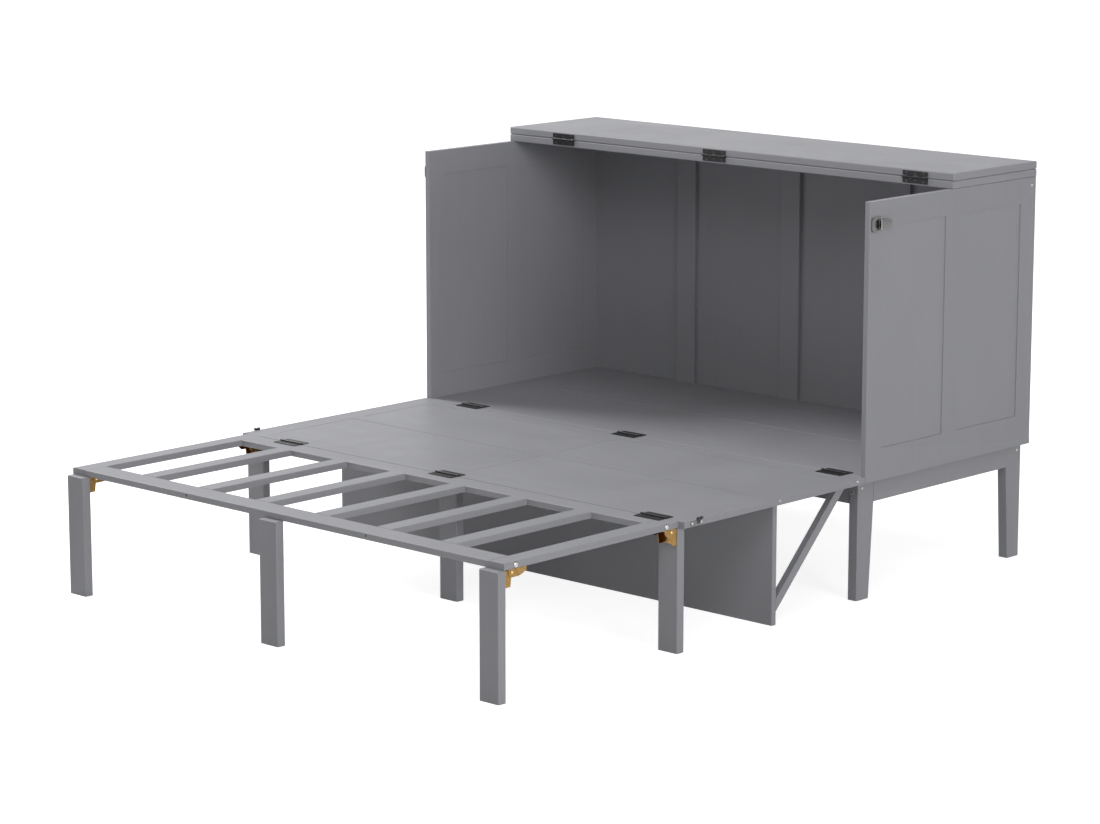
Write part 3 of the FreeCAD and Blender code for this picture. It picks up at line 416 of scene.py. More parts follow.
def solids_of(node):
    """The lowest and highest corners of each separate solid in a CAD node."""
    mesh = nodes[node].data
    spots = [tuple(round(c, 6) for c in v.co) for v in mesh.vertices]
    joined = {spot: spot for spot in spots}

    def leader(spot):
        while joined[spot] != spot:
            joined[spot] = joined[joined[spot]]
            spot = joined[spot]
        return spot

    for face in mesh.polygons:
        first = leader(spots[face.vertices[0]])
        for i in face.vertices:
            joined[leader(spots[i])] = first
    boxes = {}
    for spot in joined:
        low, high = boxes.get(leader(spot), (spot, spot))
        boxes[leader(spot)] = (tuple(map(min, low, spot)), tuple(map(max, high, spot)))
    return [(Vector(low), Vector(high)) for low, high in sorted(boxes.values())]


def prism(name, outline, low, high, draft=1.0):
    """A closed mesh pushed up from an outline; draft is how much smaller it is at the bottom."""
    shape = bmesh.new()
    bottom = [shape.verts.new((x * draft, y * draft, low)) for x, y in outline]
    top = [shape.verts.new((x, y, high)) for x, y in outline]
    shape.faces.new(bottom[::-1])
    shape.faces.new(top)
    for i in range(len(outline)):
        j = (i + 1) % len(outline)
        shape.faces.new((bottom[i], bottom[j], top[j], top[i]))
    mesh = bpy.data.meshes.new(name)
    shape.to_mesh(mesh)
    shape.free()
    return mesh


def pressed(outline, low, high, ease=0.0004):
    """A plate with its sharp edges broken."""
    shape = bmesh.new()
    shape.from_mesh(prism("sheet", outline, low, high))
    bmesh.ops.recalc_face_normals(shape, faces=shape.faces[:])
    bmesh.ops.bevel(shape, geom=shape.edges[:], offset=ease, segments=2, profile=0.5,
                    affect="EDGES", clamp_overlap=True)
    mesh = bpy.data.meshes.new("plate")
    shape.to_mesh(mesh)
    shape.free()
    return mesh


deck_low, deck_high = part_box("deck_frame")
fields = bmesh.new()
for low, high in solids_of("deck_fields"):
    x0, x1 = low.x + FIELD_TONGUE, high.x - FIELD_TONGUE
    y0, y1 = low.y + FIELD_TONGUE, high.y - FIELD_TONGUE
    fields.from_mesh(pressed([(x0, y0), (x1, y0), (x1, y1), (x0, y1)], deck_low.z + FIELD_BACK,
                             deck_high.z - FIELD_SINK, FIELD_EASE))
field_mesh = bpy.data.meshes.new("deck_panels")
fields.to_mesh(field_mesh)
fields.free()
field_mesh.materials.append(paint_across)
deck_panels = bpy.data.objects.new("deck_panels", field_mesh)
bpy.context.scene.collection.objects.link(deck_panels)
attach(deck_panels, "deck")
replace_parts(deck_panels, "deck_fields")


# ---- Slatted frame ---------------------------------------------------------------------------
# Two side rails, a head rail and a foot rail of solid wood, with six flat slats between them.
# The edges are rounded over and the paint breaks a little lighter there.
coat(paint_lengthways, "frame_side_rail_right", "frame_side_rail_left", "slats")
coat(paint_across, "frame_head_rail", "frame_foot_rail")


# ---- Folding legs and support ----------------------------------------------------------------
# Six posts of solid wood fold up under the frame. A wide board hangs under the middle of the deck,
# and two diagonal bars swing out behind it to prop the deck.
coat(paint_upright, "foot_leg_right", "foot_leg_centre", "foot_leg_left")
coat(paint_upright, "mid_leg_right", "mid_leg_centre", "mid_leg_left")
coat(paint_across, "support_panel")
coat(paint_upright, "brace_right", "brace_left")


# ---- Butt hinges -----------------------------------------------------------------------------
# Stamped steel butt hinges with rolled knuckles, stoved black. The enamel is worn thin along the
# edges of the leaves and on the barrel, where bare steel just shows.
HINGE_BLACK = (0.016, 0.016, 0.018, 1)
HINGE_WORN = (0.16, 0.16, 0.165, 1)
LEAF_THICK = 0.0015
LEAF_BARREL = 0.0060
SCREW_SPREAD = 0.34
SCREW_STAGGER = 0.12


def black_enamel():
    """Stoved enamel, worn to bare steel along its edges."""
    finish, tree, shader = blank_finish("black_enamel")
    links = tree.links
    edge = placed_effect(tree, edge_wear_and_highlight, Reach=0.0007, Gain=2.6, Breakup=0.9)
    colour = put(tree, "Mix", {"data_type": "RGBA"})
    colour.inputs["A"].default_value = HINGE_BLACK
    colour.inputs["B"].default_value = HINGE_WORN
    links.new(edge.outputs["Mask"], colour.inputs["Factor"])
    links.new(colour.outputs["Result"], shader.inputs["Base Color"])
    bare = put(tree, "Math", {"operation": "MULTIPLY"})
    bare.inputs[1].default_value = 0.7
    links.new(edge.outputs["Mask"], bare.inputs[0])
    links.new(bare.outputs[0], shader.inputs["Metallic"])
    shader.inputs["Specular IOR Level"].default_value = 0.22
    shine = placed_effect(tree, handled_shine, Low=0.30, High=0.46, Scale=45.0)
    links.new(shine.outputs["Roughness"], shader.inputs["Roughness"])
    skin = placed_effect(tree, film_stipple, Scale=1900.0, Ripple=0.5)
    bump = put(tree, "Bump", Strength=0.25, Distance=0.0002)
    links.new(skin.outputs["Height"], bump.inputs["Height"])
    links.new(bump.outputs["Normal"], shader.inputs["Normal"])
    return finish


def leaf_screws(leaves, face, away, count=3):
    """Where the screws of some hinge leaves sit, from each leaf's box. Face is the way that the
    leaf looks, away the way that it runs from its barrel."""
    face, away = Vector(face), Vector(away)
    along = face.cross(away)
    spots = []
    for low, high in leaves:
        middle, size = (low + high) / 2, high - low
        deep = sum(abs(f) * s for f, s in zip(face, size))
        wide = sum(abs(a) * s for a, s in zip(away, size))
        long = sum(abs(a) * s for a, s in zip(along, size))
        seat = middle - face * (deep / 2 - LEAF_THICK)
        seat += away * (wide / 2 - (wide - LEAF_BARREL) / 2)
        for i in range(count):
            step = i - (count - 1) / 2
            stagger = SCREW_STAGGER * (wide - LEAF_BARREL) * (1 if step else -1)
            spot = seat + along * step * long * SCREW_SPREAD + away * stagger
            spots.append((spot, face, 0.7 * len(spots)))
    return spots


black = black_enamel()
coat(black, "cabinet_hinge_leaves", "flap_hinge_leaves", "deck_hinge_leaves")
coat(black, "frame_hinge_leaves", "support_hinge_leaves", "brace_leaf_right", "brace_leaf_left")
coat(black, "foot_leg_centre_leaf", "mid_leg_centre_leaf")
coat(black, "cabinet_hinge_pins", "deck_hinge_pins", "brace_hinge_pins")


# ---- Screws ----------------------------------------------------------------------------------
# Countersunk wood screws with a cross slot: blackened in the hinges, bright where they hold the
# boards. Each is turned to where the driver left it.
SINK_R = 0.0034
SINK_PROUD = 0.0004
HEAD_R = 0.0037
HEAD_PROUD = 0.0013
SLOT_LONG = 0.55
SLOT_WIDE = 0.16
SLOT_DEEP = 0.0009
STEEL_BRIGHT = (0.58, 0.57, 0.545, 1)
STEEL_DULL = (0.32, 0.31, 0.295, 1)
# painted highlight along the rims of the bright steel
STEEL_RIM_HIGHLIGHT = (0.80, 0.79, 0.76, 1)
BLACKED = (0.075, 0.073, 0.070, 1)
BLACKED_DULL = (0.030, 0.029, 0.028, 1)
# painted highlight along the rims of the blacked steel
BLACKED_RIM_HIGHLIGHT = (0.30, 0.29, 0.28, 1)


def turned(name, profile, steps=24):
    """A mesh turned on the z axis from a profile of (radius, height), from its rim to its top."""
    shape = bmesh.new()
    rings = []
    for radius, height in profile:
        if radius < 1e-7:
            rings.append([shape.verts.new((0, 0, height))])
            continue
        ring = []
        for i in range(steps):
            angle = 2 * math.pi * i / steps
            x, y = radius * math.cos(angle), radius * math.sin(angle)
            ring.append(shape.verts.new((x, y, height)))
        rings.append(ring)
    for low, high in zip(rings, rings[1:]):
        for i in range(steps):
            j = (i + 1) % steps
            if len(high) == 1:
                shape.faces.new((low[i], low[j], high[0]))
            elif len(low) == 1:
                shape.faces.new((low[0], high[j], high[i]))
            else:
                shape.faces.new((low[i], low[j], high[j], high[i]))
    bmesh.ops.recalc_face_normals(shape, faces=shape.faces[:])
    mesh = bpy.data.meshes.new(name)
    shape.to_mesh(mesh)
    shape.free()
    return mesh


def cut_from(mesh, tool):
    """The mesh with a tool cut out of it."""
    body = bpy.data.objects.new("body", mesh)
    cutter = bpy.data.objects.new("cutter", tool)
    bpy.context.scene.collection.objects.link(body)
    bpy.context.scene.collection.objects.link(cutter)
    cut = body.modifiers.new("cut", "BOOLEAN")
    cut.operation = "DIFFERENCE"
    cut.solver = "EXACT"
    cut.object = cutter
    bpy.context.view_layer.update()
    seen = body.evaluated_get(bpy.context.evaluated_depsgraph_get())
    result = bpy.data.meshes.new_from_object(seen)
    bpy.data.objects.remove(body)
    bpy.data.objects.remove(cutter)
    return result


def cross_outline(long, wide):
    """The outline of a cross slot, from half its length and half its width."""
    a, b = long, wide
    return [(a, -b), (a, b), (b, b), (b, a), (-b, a), (-b, b),
            (-a, b), (-a, -b), (-b, -b), (-b, -a), (b, -a), (b, -b)]


def screw_head(name, radius, proud):
    """A slightly domed head with its cross slot, its underside on z = 0."""
    profile = [(0, -0.0006), (radius * 0.97, -0.0006), (radius, proud * 0.25),
               (radius * 0.93, proud * 0.62), (radius * 0.6, proud * 0.93), (0, proud)]
    head = turned(name + "_blank", profile)
    slot = prism(name + "_slot", cross_outline(radius * SLOT_LONG, radius * SLOT_WIDE),
                 proud - SLOT_DEEP, proud + 0.001, 0.8)
    return cut_from(head, slot)


def planted(name, form, spots, finish, body):
    """One piece made of a small form set at each spot, looking the way that its face looks."""
    shape = bmesh.new()
    for spot, face, spin in spots:
        before = set(shape.verts)
        shape.from_mesh(form)
        turn = Vector((0, 0, 1)).rotation_difference(Vector(face)).to_matrix().to_4x4()
        move = Matrix.Translation(spot) @ turn @ Matrix.Rotation(spin, 4, "Z")
        bmesh.ops.transform(shape, matrix=move, verts=[v for v in shape.verts if v not in before])
    mesh = bpy.data.meshes.new(name)
    shape.to_mesh(mesh)
    shape.free()
    mesh.materials.append(finish)
    for face in mesh.polygons:
        face.use_smooth = True
    mesh.set_sharp_from_angle(angle=math.radians(32))
    piece = bpy.data.objects.new(name, mesh)
    bpy.context.scene.collection.objects.link(piece)
    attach(piece, body)
    return piece


def plated(name, bright, dull, rim_highlight, low, high):
    """Plated steel: brushed a little, in two tones, with a painted highlight in a lighter colour
    along its edges.
    """
    finish, tree, shader = blank_finish(name)
    links = tree.links
    edge = placed_effect(tree, edge_wear_and_highlight, Reach=0.0008, Gain=2.0, Breakup=0.6)
    cloud = placed_effect(tree, handled_shine, Low=0.0, High=0.7, Scale=120.0)
    patch = put(tree, "Mix", {"data_type": "RGBA"})
    patch.inputs["A"].default_value = bright
    patch.inputs["B"].default_value = dull
    links.new(cloud.outputs["Roughness"], patch.inputs["Factor"])
    colour = put(tree, "Mix", {"data_type": "RGBA"})
    # painted highlight: the lighter rim colour along the edges
    colour.inputs["B"].default_value = rim_highlight
    links.new(edge.outputs["Mask"], colour.inputs["Factor"])
    links.new(patch.outputs["Result"], colour.inputs["A"])
    links.new(colour.outputs["Result"], shader.inputs["Base Color"])
    shader.inputs["Metallic"].default_value = 1.0
    shine = placed_effect(tree, handled_shine, Low=low, High=high, Scale=60.0)
    links.new(shine.outputs["Roughness"], shader.inputs["Roughness"])
    skin = placed_effect(tree, film_stipple, Scale=2400.0, Ripple=0.8)
    bump = put(tree, "Bump", Strength=0.2, Distance=0.0002)
    links.new(skin.outputs["Height"], bump.inputs["Height"])
    links.new(bump.outputs["Normal"], shader.inputs["Normal"])
    return finish


bright_steel = plated("bright_steel", STEEL_BRIGHT, STEEL_DULL, STEEL_RIM_HIGHLIGHT, 0.16, 0.34)
# real finish of the hinge screws and plugs; painted shade on the latch bases and keeper hooks
blacked_steel_and_painted_shade = plated("blacked_steel_and_painted_shade", BLACKED, BLACKED_DULL, BLACKED_RIM_HIGHLIGHT, 0.26, 0.42)
sunk_head = screw_head("sunk_head", SINK_R, SINK_PROUD)
pan_head = screw_head("pan_head", HEAD_R, HEAD_PROUD)

DOWN, UP = (0, 0, -1), (0, 0, 1)
RIGHT, LEFT = (1, 0, 0), (-1, 0, 0)
TO_FOOT, TO_HEAD = (0, -1, 0), (0, 1, 0)


def leaves_where(node, test):
    """The leaves of a hinge node whose middles pass a test."""
    return [leaf for leaf in solids_of(node) if test((leaf[0] + leaf[1]) / 2)]


floor_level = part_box("floor_front_board")[1].z
deck_middle = sum(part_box("deck_frame"), Vector()) / 2

cabinet_high = leaves_where("cabinet_hinge_leaves", lambda m: m.z > 2 * floor_level)
cabinet_low = leaves_where("cabinet_hinge_leaves", lambda m: m.z < 2 * floor_level)
cabinet_spots = leaf_screws(cabinet_high, TO_FOOT, DOWN) + leaf_screws(cabinet_low, UP, TO_HEAD)
planted("cabinet_hinge_screws", sunk_head, cabinet_spots, blacked_steel_and_painted_shade, "cabinet")
flap_spots = leaf_screws(solids_of("flap_hinge_leaves"), TO_FOOT, UP)
planted("flap_hinge_screws", sunk_head, flap_spots, blacked_steel_and_painted_shade, "top_flap")

deck_above = leaves_where("deck_hinge_leaves", lambda m: m.z > floor_level)
deck_below = leaves_where("deck_hinge_leaves", lambda m: m.z < floor_level)
deck_spots = leaf_screws([leaf for leaf in deck_above if leaf[0].y > deck_middle.y], UP, TO_FOOT)
deck_spots += leaf_screws([leaf for leaf in deck_above if leaf[0].y < deck_middle.y], UP, TO_HEAD)
deck_spots += leaf_screws(deck_below, DOWN, TO_FOOT)
planted("deck_hinge_screws", sunk_head, deck_spots, blacked_steel_and_painted_shade, "deck")

frame_middle = sum(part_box("slats"), Vector()) / 2
frame_above = leaves_where("frame_hinge_leaves", lambda m: m.z > floor_level)
frame_below = leaves_where("frame_hinge_leaves", lambda m: m.z < floor_level)
frame_spots = leaf_screws(frame_above, UP, TO_FOOT)
near_foot = [leaf for leaf in frame_below if leaf[0].y < frame_middle.y]
near_head = [leaf for leaf in frame_below if leaf[0].y > frame_middle.y]
frame_spots += leaf_screws(near_foot, DOWN, TO_HEAD, 2) + leaf_screws(near_head, DOWN, TO_FOOT, 2)
planted("frame_hinge_screws", sunk_head, frame_spots, blacked_steel_and_painted_shade, "slat_frame")
foot_spots = leaf_screws(solids_of("foot_leg_centre_leaf"), TO_HEAD, DOWN, 2)
planted("foot_leg_hinge_screws", sunk_head, foot_spots, blacked_steel_and_painted_shade, "foot_leg_centre")
mid_spots = leaf_screws(solids_of("mid_leg_centre_leaf"), TO_FOOT, DOWN, 2)
planted("mid_leg_hinge_screws", sunk_head, mid_spots, blacked_steel_and_painted_shade, "mid_leg_centre")

panel_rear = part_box("support_panel")[1].y
panel_front_leaves = leaves_where("support_hinge_leaves", lambda m: m.y < panel_rear)
panel_rear_right = leaves_where("support_hinge_leaves", lambda m: m.y > panel_rear and m.x > 0)
panel_rear_left = leaves_where("support_hinge_leaves", lambda m: m.y > panel_rear and m.x < 0)
panel_spots = leaf_screws(panel_front_leaves, TO_FOOT, DOWN)
panel_spots += leaf_screws(panel_rear_right, TO_HEAD, LEFT, 1)
panel_spots += leaf_screws(panel_rear_left, TO_HEAD, RIGHT, 1)
planted("support_hinge_screws", sunk_head, panel_spots, blacked_steel_and_painted_shade, "support_panel")
right_spots = leaf_screws(solids_of("brace_leaf_right"), LEFT, TO_HEAD, 1)
planted("brace_screws_right", sunk_head, right_spots, blacked_steel_and_painted_shade, "brace_right")
left_spots = leaf_screws(solids_of("brace_leaf_left"), RIGHT, TO_HEAD, 1)
planted("brace_screws_left", sunk_head, left_spots, blacked_steel_and_painted_shade, "brace_left")


def heads_of(node):
    """Where each screw of a CAD node sits, and the way that its head looks."""
    spots = []
    for low, high in solids_of(node):
        middle, size = (low + high) / 2, high - low
        axis = min(range(3), key=lambda i: size[i])
        side = -1.0 if axis == 1 or middle.x < 0 else 1.0
        face = Vector([side if i == axis else 0.0 for i in range(3)])
        spots.append((middle - face * size[axis] / 2, face, 0.9 * len(spots)))
    return spots


board_screws = planted("cabinet_board_screws", pan_head, heads_of("cabinet_screws"),
                       bright_steel, "cabinet")
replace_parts(board_screws, "cabinet_screws")
edge_screws = planted("deck_edge_screws", pan_head, heads_of("deck_screws"),
                      bright_steel, "deck")
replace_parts(edge_screws, "deck_screws")


# ---- Frame bolts -----------------------------------------------------------------------------
# Capped bolts draw the head and foot rails against the side rails: nickel-plated domes, each on a
# thin black disc that is painted shade round it. Two more are plugged over in the end face of the
# foot rail.
BOLT_R = 0.0070
BOLT_DOME = 0.0022
SHADE_RING_R = 0.0084
SHADE_RING_PROUD = 0.0002
BOLT_STEPS = 32
PLUG_X = (-0.339, 0.328)
PLUG_DROP = 0.006

bolt_profile = [(0, -0.001), (BOLT_R * 0.99, -0.001), (BOLT_R, 0.0003)]
bolt_profile += [(BOLT_R * 0.94, BOLT_DOME * 0.45), (BOLT_R * 0.8, BOLT_DOME * 0.74)]
bolt_profile += [(BOLT_R * 0.6, BOLT_DOME * 0.91), (BOLT_R * 0.3, BOLT_DOME * 0.99)]
bolt_head = turned("bolt_head", bolt_profile + [(0, BOLT_DOME)], BOLT_STEPS)
side_bolts = planted("frame_bolt_heads", bolt_head, heads_of("frame_bolts"),
                     bright_steel, "slat_frame")
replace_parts(side_bolts, "frame_bolts")
# painted shade: a thin black disc round each bolt dome
bolt_shade_ring = turned("bolt_shade_ring", [(0, -0.0006), (SHADE_RING_R * 0.96, -0.0006), (SHADE_RING_R, 0),
                                 (SHADE_RING_R * 0.97, SHADE_RING_PROUD), (0, SHADE_RING_PROUD)], BOLT_STEPS)
planted("frame_bolt_shade_rings", bolt_shade_ring, heads_of("frame_bolts"), black, "slat_frame")
foot_rail_low, foot_rail_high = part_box("frame_foot_rail")
plug_spots = [(Vector((x, foot_rail_low.y, foot_rail_high.z - PLUG_DROP)), Vector(TO_FOOT), 0.0)
              for x in PLUG_X]
planted("foot_rail_plugs", sunk_head, plug_spots, blacked_steel_and_painted_shade, "slat_frame")


# ---- Leg brackets ----------------------------------------------------------------------------
# Folded channels of zinc-plated steel, passivated yellow, with a domed rivet at each pivot. The
# plating is golden; the inner faces of the sides are a dark brown that is painted shade, and the
# rivet domes are a lighter gold that is a painted highlight.
ZINC_GOLD = (0.37, 0.235, 0.082, 1)
ZINC_BROWN = (0.20, 0.105, 0.034, 1)
# painted highlight along the rims of the yellow zinc
ZINC_RIM_HIGHLIGHT = (0.56, 0.43, 0.20, 1)
SHADE_BROWN = (0.105, 0.040, 0.010, 1)
SHADE_DARK = (0.045, 0.017, 0.005, 1)
# painted highlight: the rivet domes are a lighter, brighter copy of the zinc
RIVET_HIGHLIGHT = (0.82, 0.62, 0.32, 1)
RIVET_R = 0.0042
RIVET_DOME = 0.0019
RIVET_DROP = 0.008
RIVET_SINK = 0.0008
PIN_SMALL = 0.004           # pins lower than this are hinge pins and carry no rivet
BRACKET_SHEET = 0.0015
BRACKET_LOBE = 0.012
BRACKET_BELLY = 0.022
BRACKET_END = 0.0095
MID_REACH = 0.024
CHANNEL_LOBE = 0.006
CHANNEL_TOE = 0.018
CHANNEL_SCREW_APART = 0.020
CHANNEL_SCREW_RISE = 0.010

yellow_zinc = plated("yellow_zinc", ZINC_GOLD, ZINC_BROWN, ZINC_RIM_HIGHLIGHT, 0.24, 0.38)
zinc_painted_shade = plated("zinc_painted_shade", SHADE_BROWN, SHADE_DARK, ZINC_BROWN, 0.30, 0.45)
rivet_zinc_highlight = plated("rivet_zinc_highlight", RIVET_HIGHLIGHT, ZINC_GOLD, RIVET_HIGHLIGHT, 0.14, 0.26)
coat(yellow_zinc, "leg_pivot_pins")
rivet_profile = [(0, -0.0005), (RIVET_R, -0.0005), (RIVET_R, 0.0003)]
rivet_profile += [(RIVET_R * 0.85, RIVET_DOME * 0.6), (RIVET_R * 0.5, RIVET_DOME * 0.93)]
rivet_cap = turned("rivet_cap", rivet_profile + [(0, RIVET_DOME)])
rivet_spots = []
for low, high in solids_of("leg_pivot_pins"):
    if high.z - low.z < PIN_SMALL:
        continue
    middle = (low + high) / 2
    rivet_spots.append((Vector((low.x + RIVET_SINK, middle.y, middle.z)), Vector(LEFT), 0.0))
    rivet_spots.append((Vector((high.x - RIVET_SINK, middle.y, middle.z)), Vector(RIGHT), 0.0))
planted("bracket_rivets", rivet_cap, rivet_spots, rivet_zinc_highlight, "slat_frame")


def arc(x, y, radius, start, end, steps=6):
    """Points round part of a circle, in degrees."""
    turns = [math.radians(start + (end - start) * i / steps) for i in range(steps + 1)]
    return [(x + radius * math.cos(t), y + radius * math.sin(t)) for t in turns]


def bracket_side(reach):
    """One side of a bracket: a round lobe at the pivot, a full belly and a short upright end."""
    belly = min(BRACKET_BELLY, reach * 0.45)
    outline = [(-BRACKET_LOBE, RIVET_DROP)] + arc(0, 0, BRACKET_LOBE, 180, 275, 10)
    start = BRACKET_LOBE * 0.09
    for i in range(1, 9):
        along = start + (reach - start) * i / 8
        rise = max(0.0, (along - belly) / (reach - belly)) ** 1.5
        outline.append((along, rise * (BRACKET_LOBE + RIVET_DROP - BRACKET_END) - BRACKET_LOBE))
    outline.append((reach, RIVET_DROP))
    return outline


def folded(name, box, pivot, way, side, web, body):
    """A channel folded from sheet: two like sides, and a web that joins them. Sides and web are
    drawn from the pivot, along the bed and up. Their inner faces take a dark brown: painted shade."""
    low, high = box
    shape = bmesh.new()
    for x in (low.x, high.x - BRACKET_SHEET):
        form = prism("side", side, 0, BRACKET_SHEET)
        for corner in form.vertices:
            along, up, across = corner.co
            corner.co = (x + across, pivot.y + way * along, pivot.z + up)
        shape.from_mesh(form)
    a0, a1, b0, b1 = web
    form = prism("web", [(a0, b0), (a1, b0), (a1, b1), (a0, b1)], low.x + 0.0002, high.x - 0.0002)
    for corner in form.vertices:
        along, up, across = corner.co
        corner.co = (across, pivot.y + way * along, pivot.z + up)
    shape.from_mesh(form)
    bmesh.ops.recalc_face_normals(shape, faces=shape.faces[:])
    middle = (low.x + high.x) / 2
    for face in shape.faces:
        # painted shade: faces that look inward take the dark brown zinc
        inward = (middle - face.calc_center_median().x) * face.normal.x > 0
        face.material_index = 1 if inward and abs(face.normal.x) > 0.7 else 0
    mesh = bpy.data.meshes.new(name)
    shape.to_mesh(mesh)
    shape.free()
    mesh.materials.append(yellow_zinc)
    mesh.materials.append(zinc_painted_shade)
    piece = bpy.data.objects.new(name, mesh)
    bpy.context.scene.collection.objects.link(piece)
    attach(piece, body)
    return piece


for i, (low, high) in enumerate(solids_of("leg_brackets")):
    way = 1 if (low.y + high.y) / 2 < frame_middle.y else -1
    pivot_y = low.y + BRACKET_LOBE if way > 0 else high.y - BRACKET_LOBE
    pivot = Vector((0, pivot_y, high.z - RIVET_DROP))
    reach = high.y - low.y - BRACKET_LOBE if way > 0 else MID_REACH
    place = ("left" if low.x < 0 else "right") + ("_foot" if way > 0 else "_mid")
    roof = (0.0006 - BRACKET_LOBE, reach - 0.0006, RIVET_DROP - BRACKET_SHEET, RIVET_DROP)
    bracket = folded("bracket_" + place, (low, high), pivot, way, bracket_side(reach), roof,
                     "slat_frame")
    if i == 0:
        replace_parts(bracket, "leg_brackets")

for row, way in (("foot", 1), ("mid", -1)):
    for hand in ("right", "left"):
        node = row + "_leg_channel_" + hand
        low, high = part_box(node)
        pivot_y = high.y - CHANNEL_LOBE if way > 0 else low.y + CHANNEL_LOBE
        pivot = Vector((0, pivot_y, high.z - CHANNEL_LOBE))
        seat = CHANNEL_LOBE - (high.y - low.y)
        foot = low.z - pivot.z
        flange = [(seat, CHANNEL_LOBE), (seat, foot), (seat + CHANNEL_TOE, foot)]
        flange += arc(0, 0, CHANNEL_LOBE, -90, 90, 8)
        web = (seat, seat + BRACKET_SHEET, foot + 0.0002, CHANNEL_LOBE - 0.0002)
        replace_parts(folded("channel_" + row + "_" + hand, (low, high), pivot, way, flange, web,
                           row + "_leg_" + hand), node)

for row, looks in (("foot", TO_HEAD), ("mid", TO_FOOT)):
    for hand in ("right", "left"):
        channel_low, channel_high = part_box(row + "_leg_channel_" + hand)
        plate_y = channel_high.y - BRACKET_SHEET
        if row == "foot":
            plate_y = channel_low.y + BRACKET_SHEET
        middle_x = (channel_low.x + channel_high.x) / 2
        screw_z = channel_low.z + CHANNEL_SCREW_RISE
        channel_spots = [(Vector((middle_x + way * CHANNEL_SCREW_APART / 2, plate_y, screw_z)),
                          Vector(looks), 0.5 + way) for way in (-1, 1)]
        planted(row + "_channel_screws_" + hand, sunk_head, channel_spots, yellow_zinc,
                row + "_leg_" + hand)


# ---- Draw latches ----------------------------------------------------------------------------
# On each outer side a stamped lever on a base plate carries a loop, and the deck's edge has a
# hooked keeper for it. Satin nickel with a painted highlight along its rims; the base and the hook
# are drawn near-black, painted shade.
NICKEL_GREY = (0.185, 0.185, 0.187, 1)
NICKEL_DULL = (0.135, 0.135, 0.137, 1)
# painted highlight along the rims of the satin nickel
NICKEL_RIM_HIGHLIGHT = (0.85, 0.85, 0.84, 1)
LATCH_BACK = 0.032          # lever pivot, behind the front edge of the side
PIVOT_OUT = 0.005
LEVER_FREE = 0.050
LEVER_HALF, LEVER_FREE_HALF = 0.0130, 0.0088
LOOP_FRONT, LOOP_BACK = -0.028, 0.014
LOOP_HALF, LOOP_ARM = 0.019, 0.0144
LOOP_BAND = 0.012
LOOP_CORNER, LOOP_INNER_CORNER = 0.008, 0.003
LEVER_CORNER = 0.0045
ROLL_R = 0.0016             # the lever's rolled root
PIN_R = 0.0015
EAR_R = 0.004
PLATE_CORNER = 0.003
KEEPER_PLATE = 0.0015
HOOK_OFF = 0.0005           # room between the hook and the side when the deck is shut

satin_nickel = plated("satin_nickel", NICKEL_GREY, NICKEL_DULL, NICKEL_RIM_HIGHLIGHT, 0.24, 0.38)
side_low, side_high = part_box("side_frame_right")
lever_low, lever_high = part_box("latch_lever_right")
latch_spot = Vector((side_high.x, side_low.y + LATCH_BACK, (lever_low.z + lever_high.z) / 2))


def stamped(name, forms, spot, side, finish, body):
    """A piece on one outer side of the bed, made of pressed forms. Each form says which way its
    own x, y and z run: a along the bed to the head, b up, c out from the side."""
    shape = bmesh.new()
    for form, runs in forms:
        before = set(shape.verts)
        shape.from_mesh(form)
        for corner in [v for v in shape.verts if v not in before]:
            place = dict(zip(runs, corner.co.copy()))
            corner.co = (side * (spot.x + place["c"]), spot.y + place["a"], spot.z + place["b"])
    bmesh.ops.recalc_face_normals(shape, faces=shape.faces[:])
    mesh = bpy.data.meshes.new(name)
    shape.to_mesh(mesh)
    shape.free()
    mesh.materials.append(finish)
    for face in mesh.polygons:
        face.use_smooth = True
    mesh.set_sharp_from_angle(angle=math.radians(40))
    piece = bpy.data.objects.new(name, mesh)
    bpy.context.scene.collection.objects.link(piece)
    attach(piece, body)
    return piece


free = LEVER_FREE - LEVER_CORNER
lever_outline = [(0.002, LEVER_HALF), (0.002, -LEVER_HALF)]
lever_outline += arc(free, -LEVER_FREE_HALF + LEVER_CORNER, LEVER_CORNER, -90, 0)
lever_outline += arc(free, LEVER_FREE_HALF - LEVER_CORNER, LEVER_CORNER, 0, 90)
cheek_outline = [(-0.0034, 0.0050), (-0.0024, 0.0026), (0, 0.0016), (0.004, 0.0015),
                 (0.010, 0.0010), (0.0128, 0.0022), (0.0140, 0.0050), (0.0160, 0.0072),
                 (0.0240, 0.0080), (0.0430, 0.0092), (0.0430, 0.0098), (-0.0010, 0.0098),
                 (-0.0026, 0.0080)]
root_outline = arc(0.0040, 0.0094, ROLL_R, 0, 345, 15)
lever_forms = [(pressed(lever_outline, 0.0093, 0.0110, 0.0006), "abc"),
               (pressed(root_outline, -LEVER_HALF, LEVER_HALF, 0.0002), "acb")]
for low in (-0.0120, 0.0105):
    lever_forms.append((pressed(cheek_outline, low, low + 0.0015, 0.0003), "acb"))

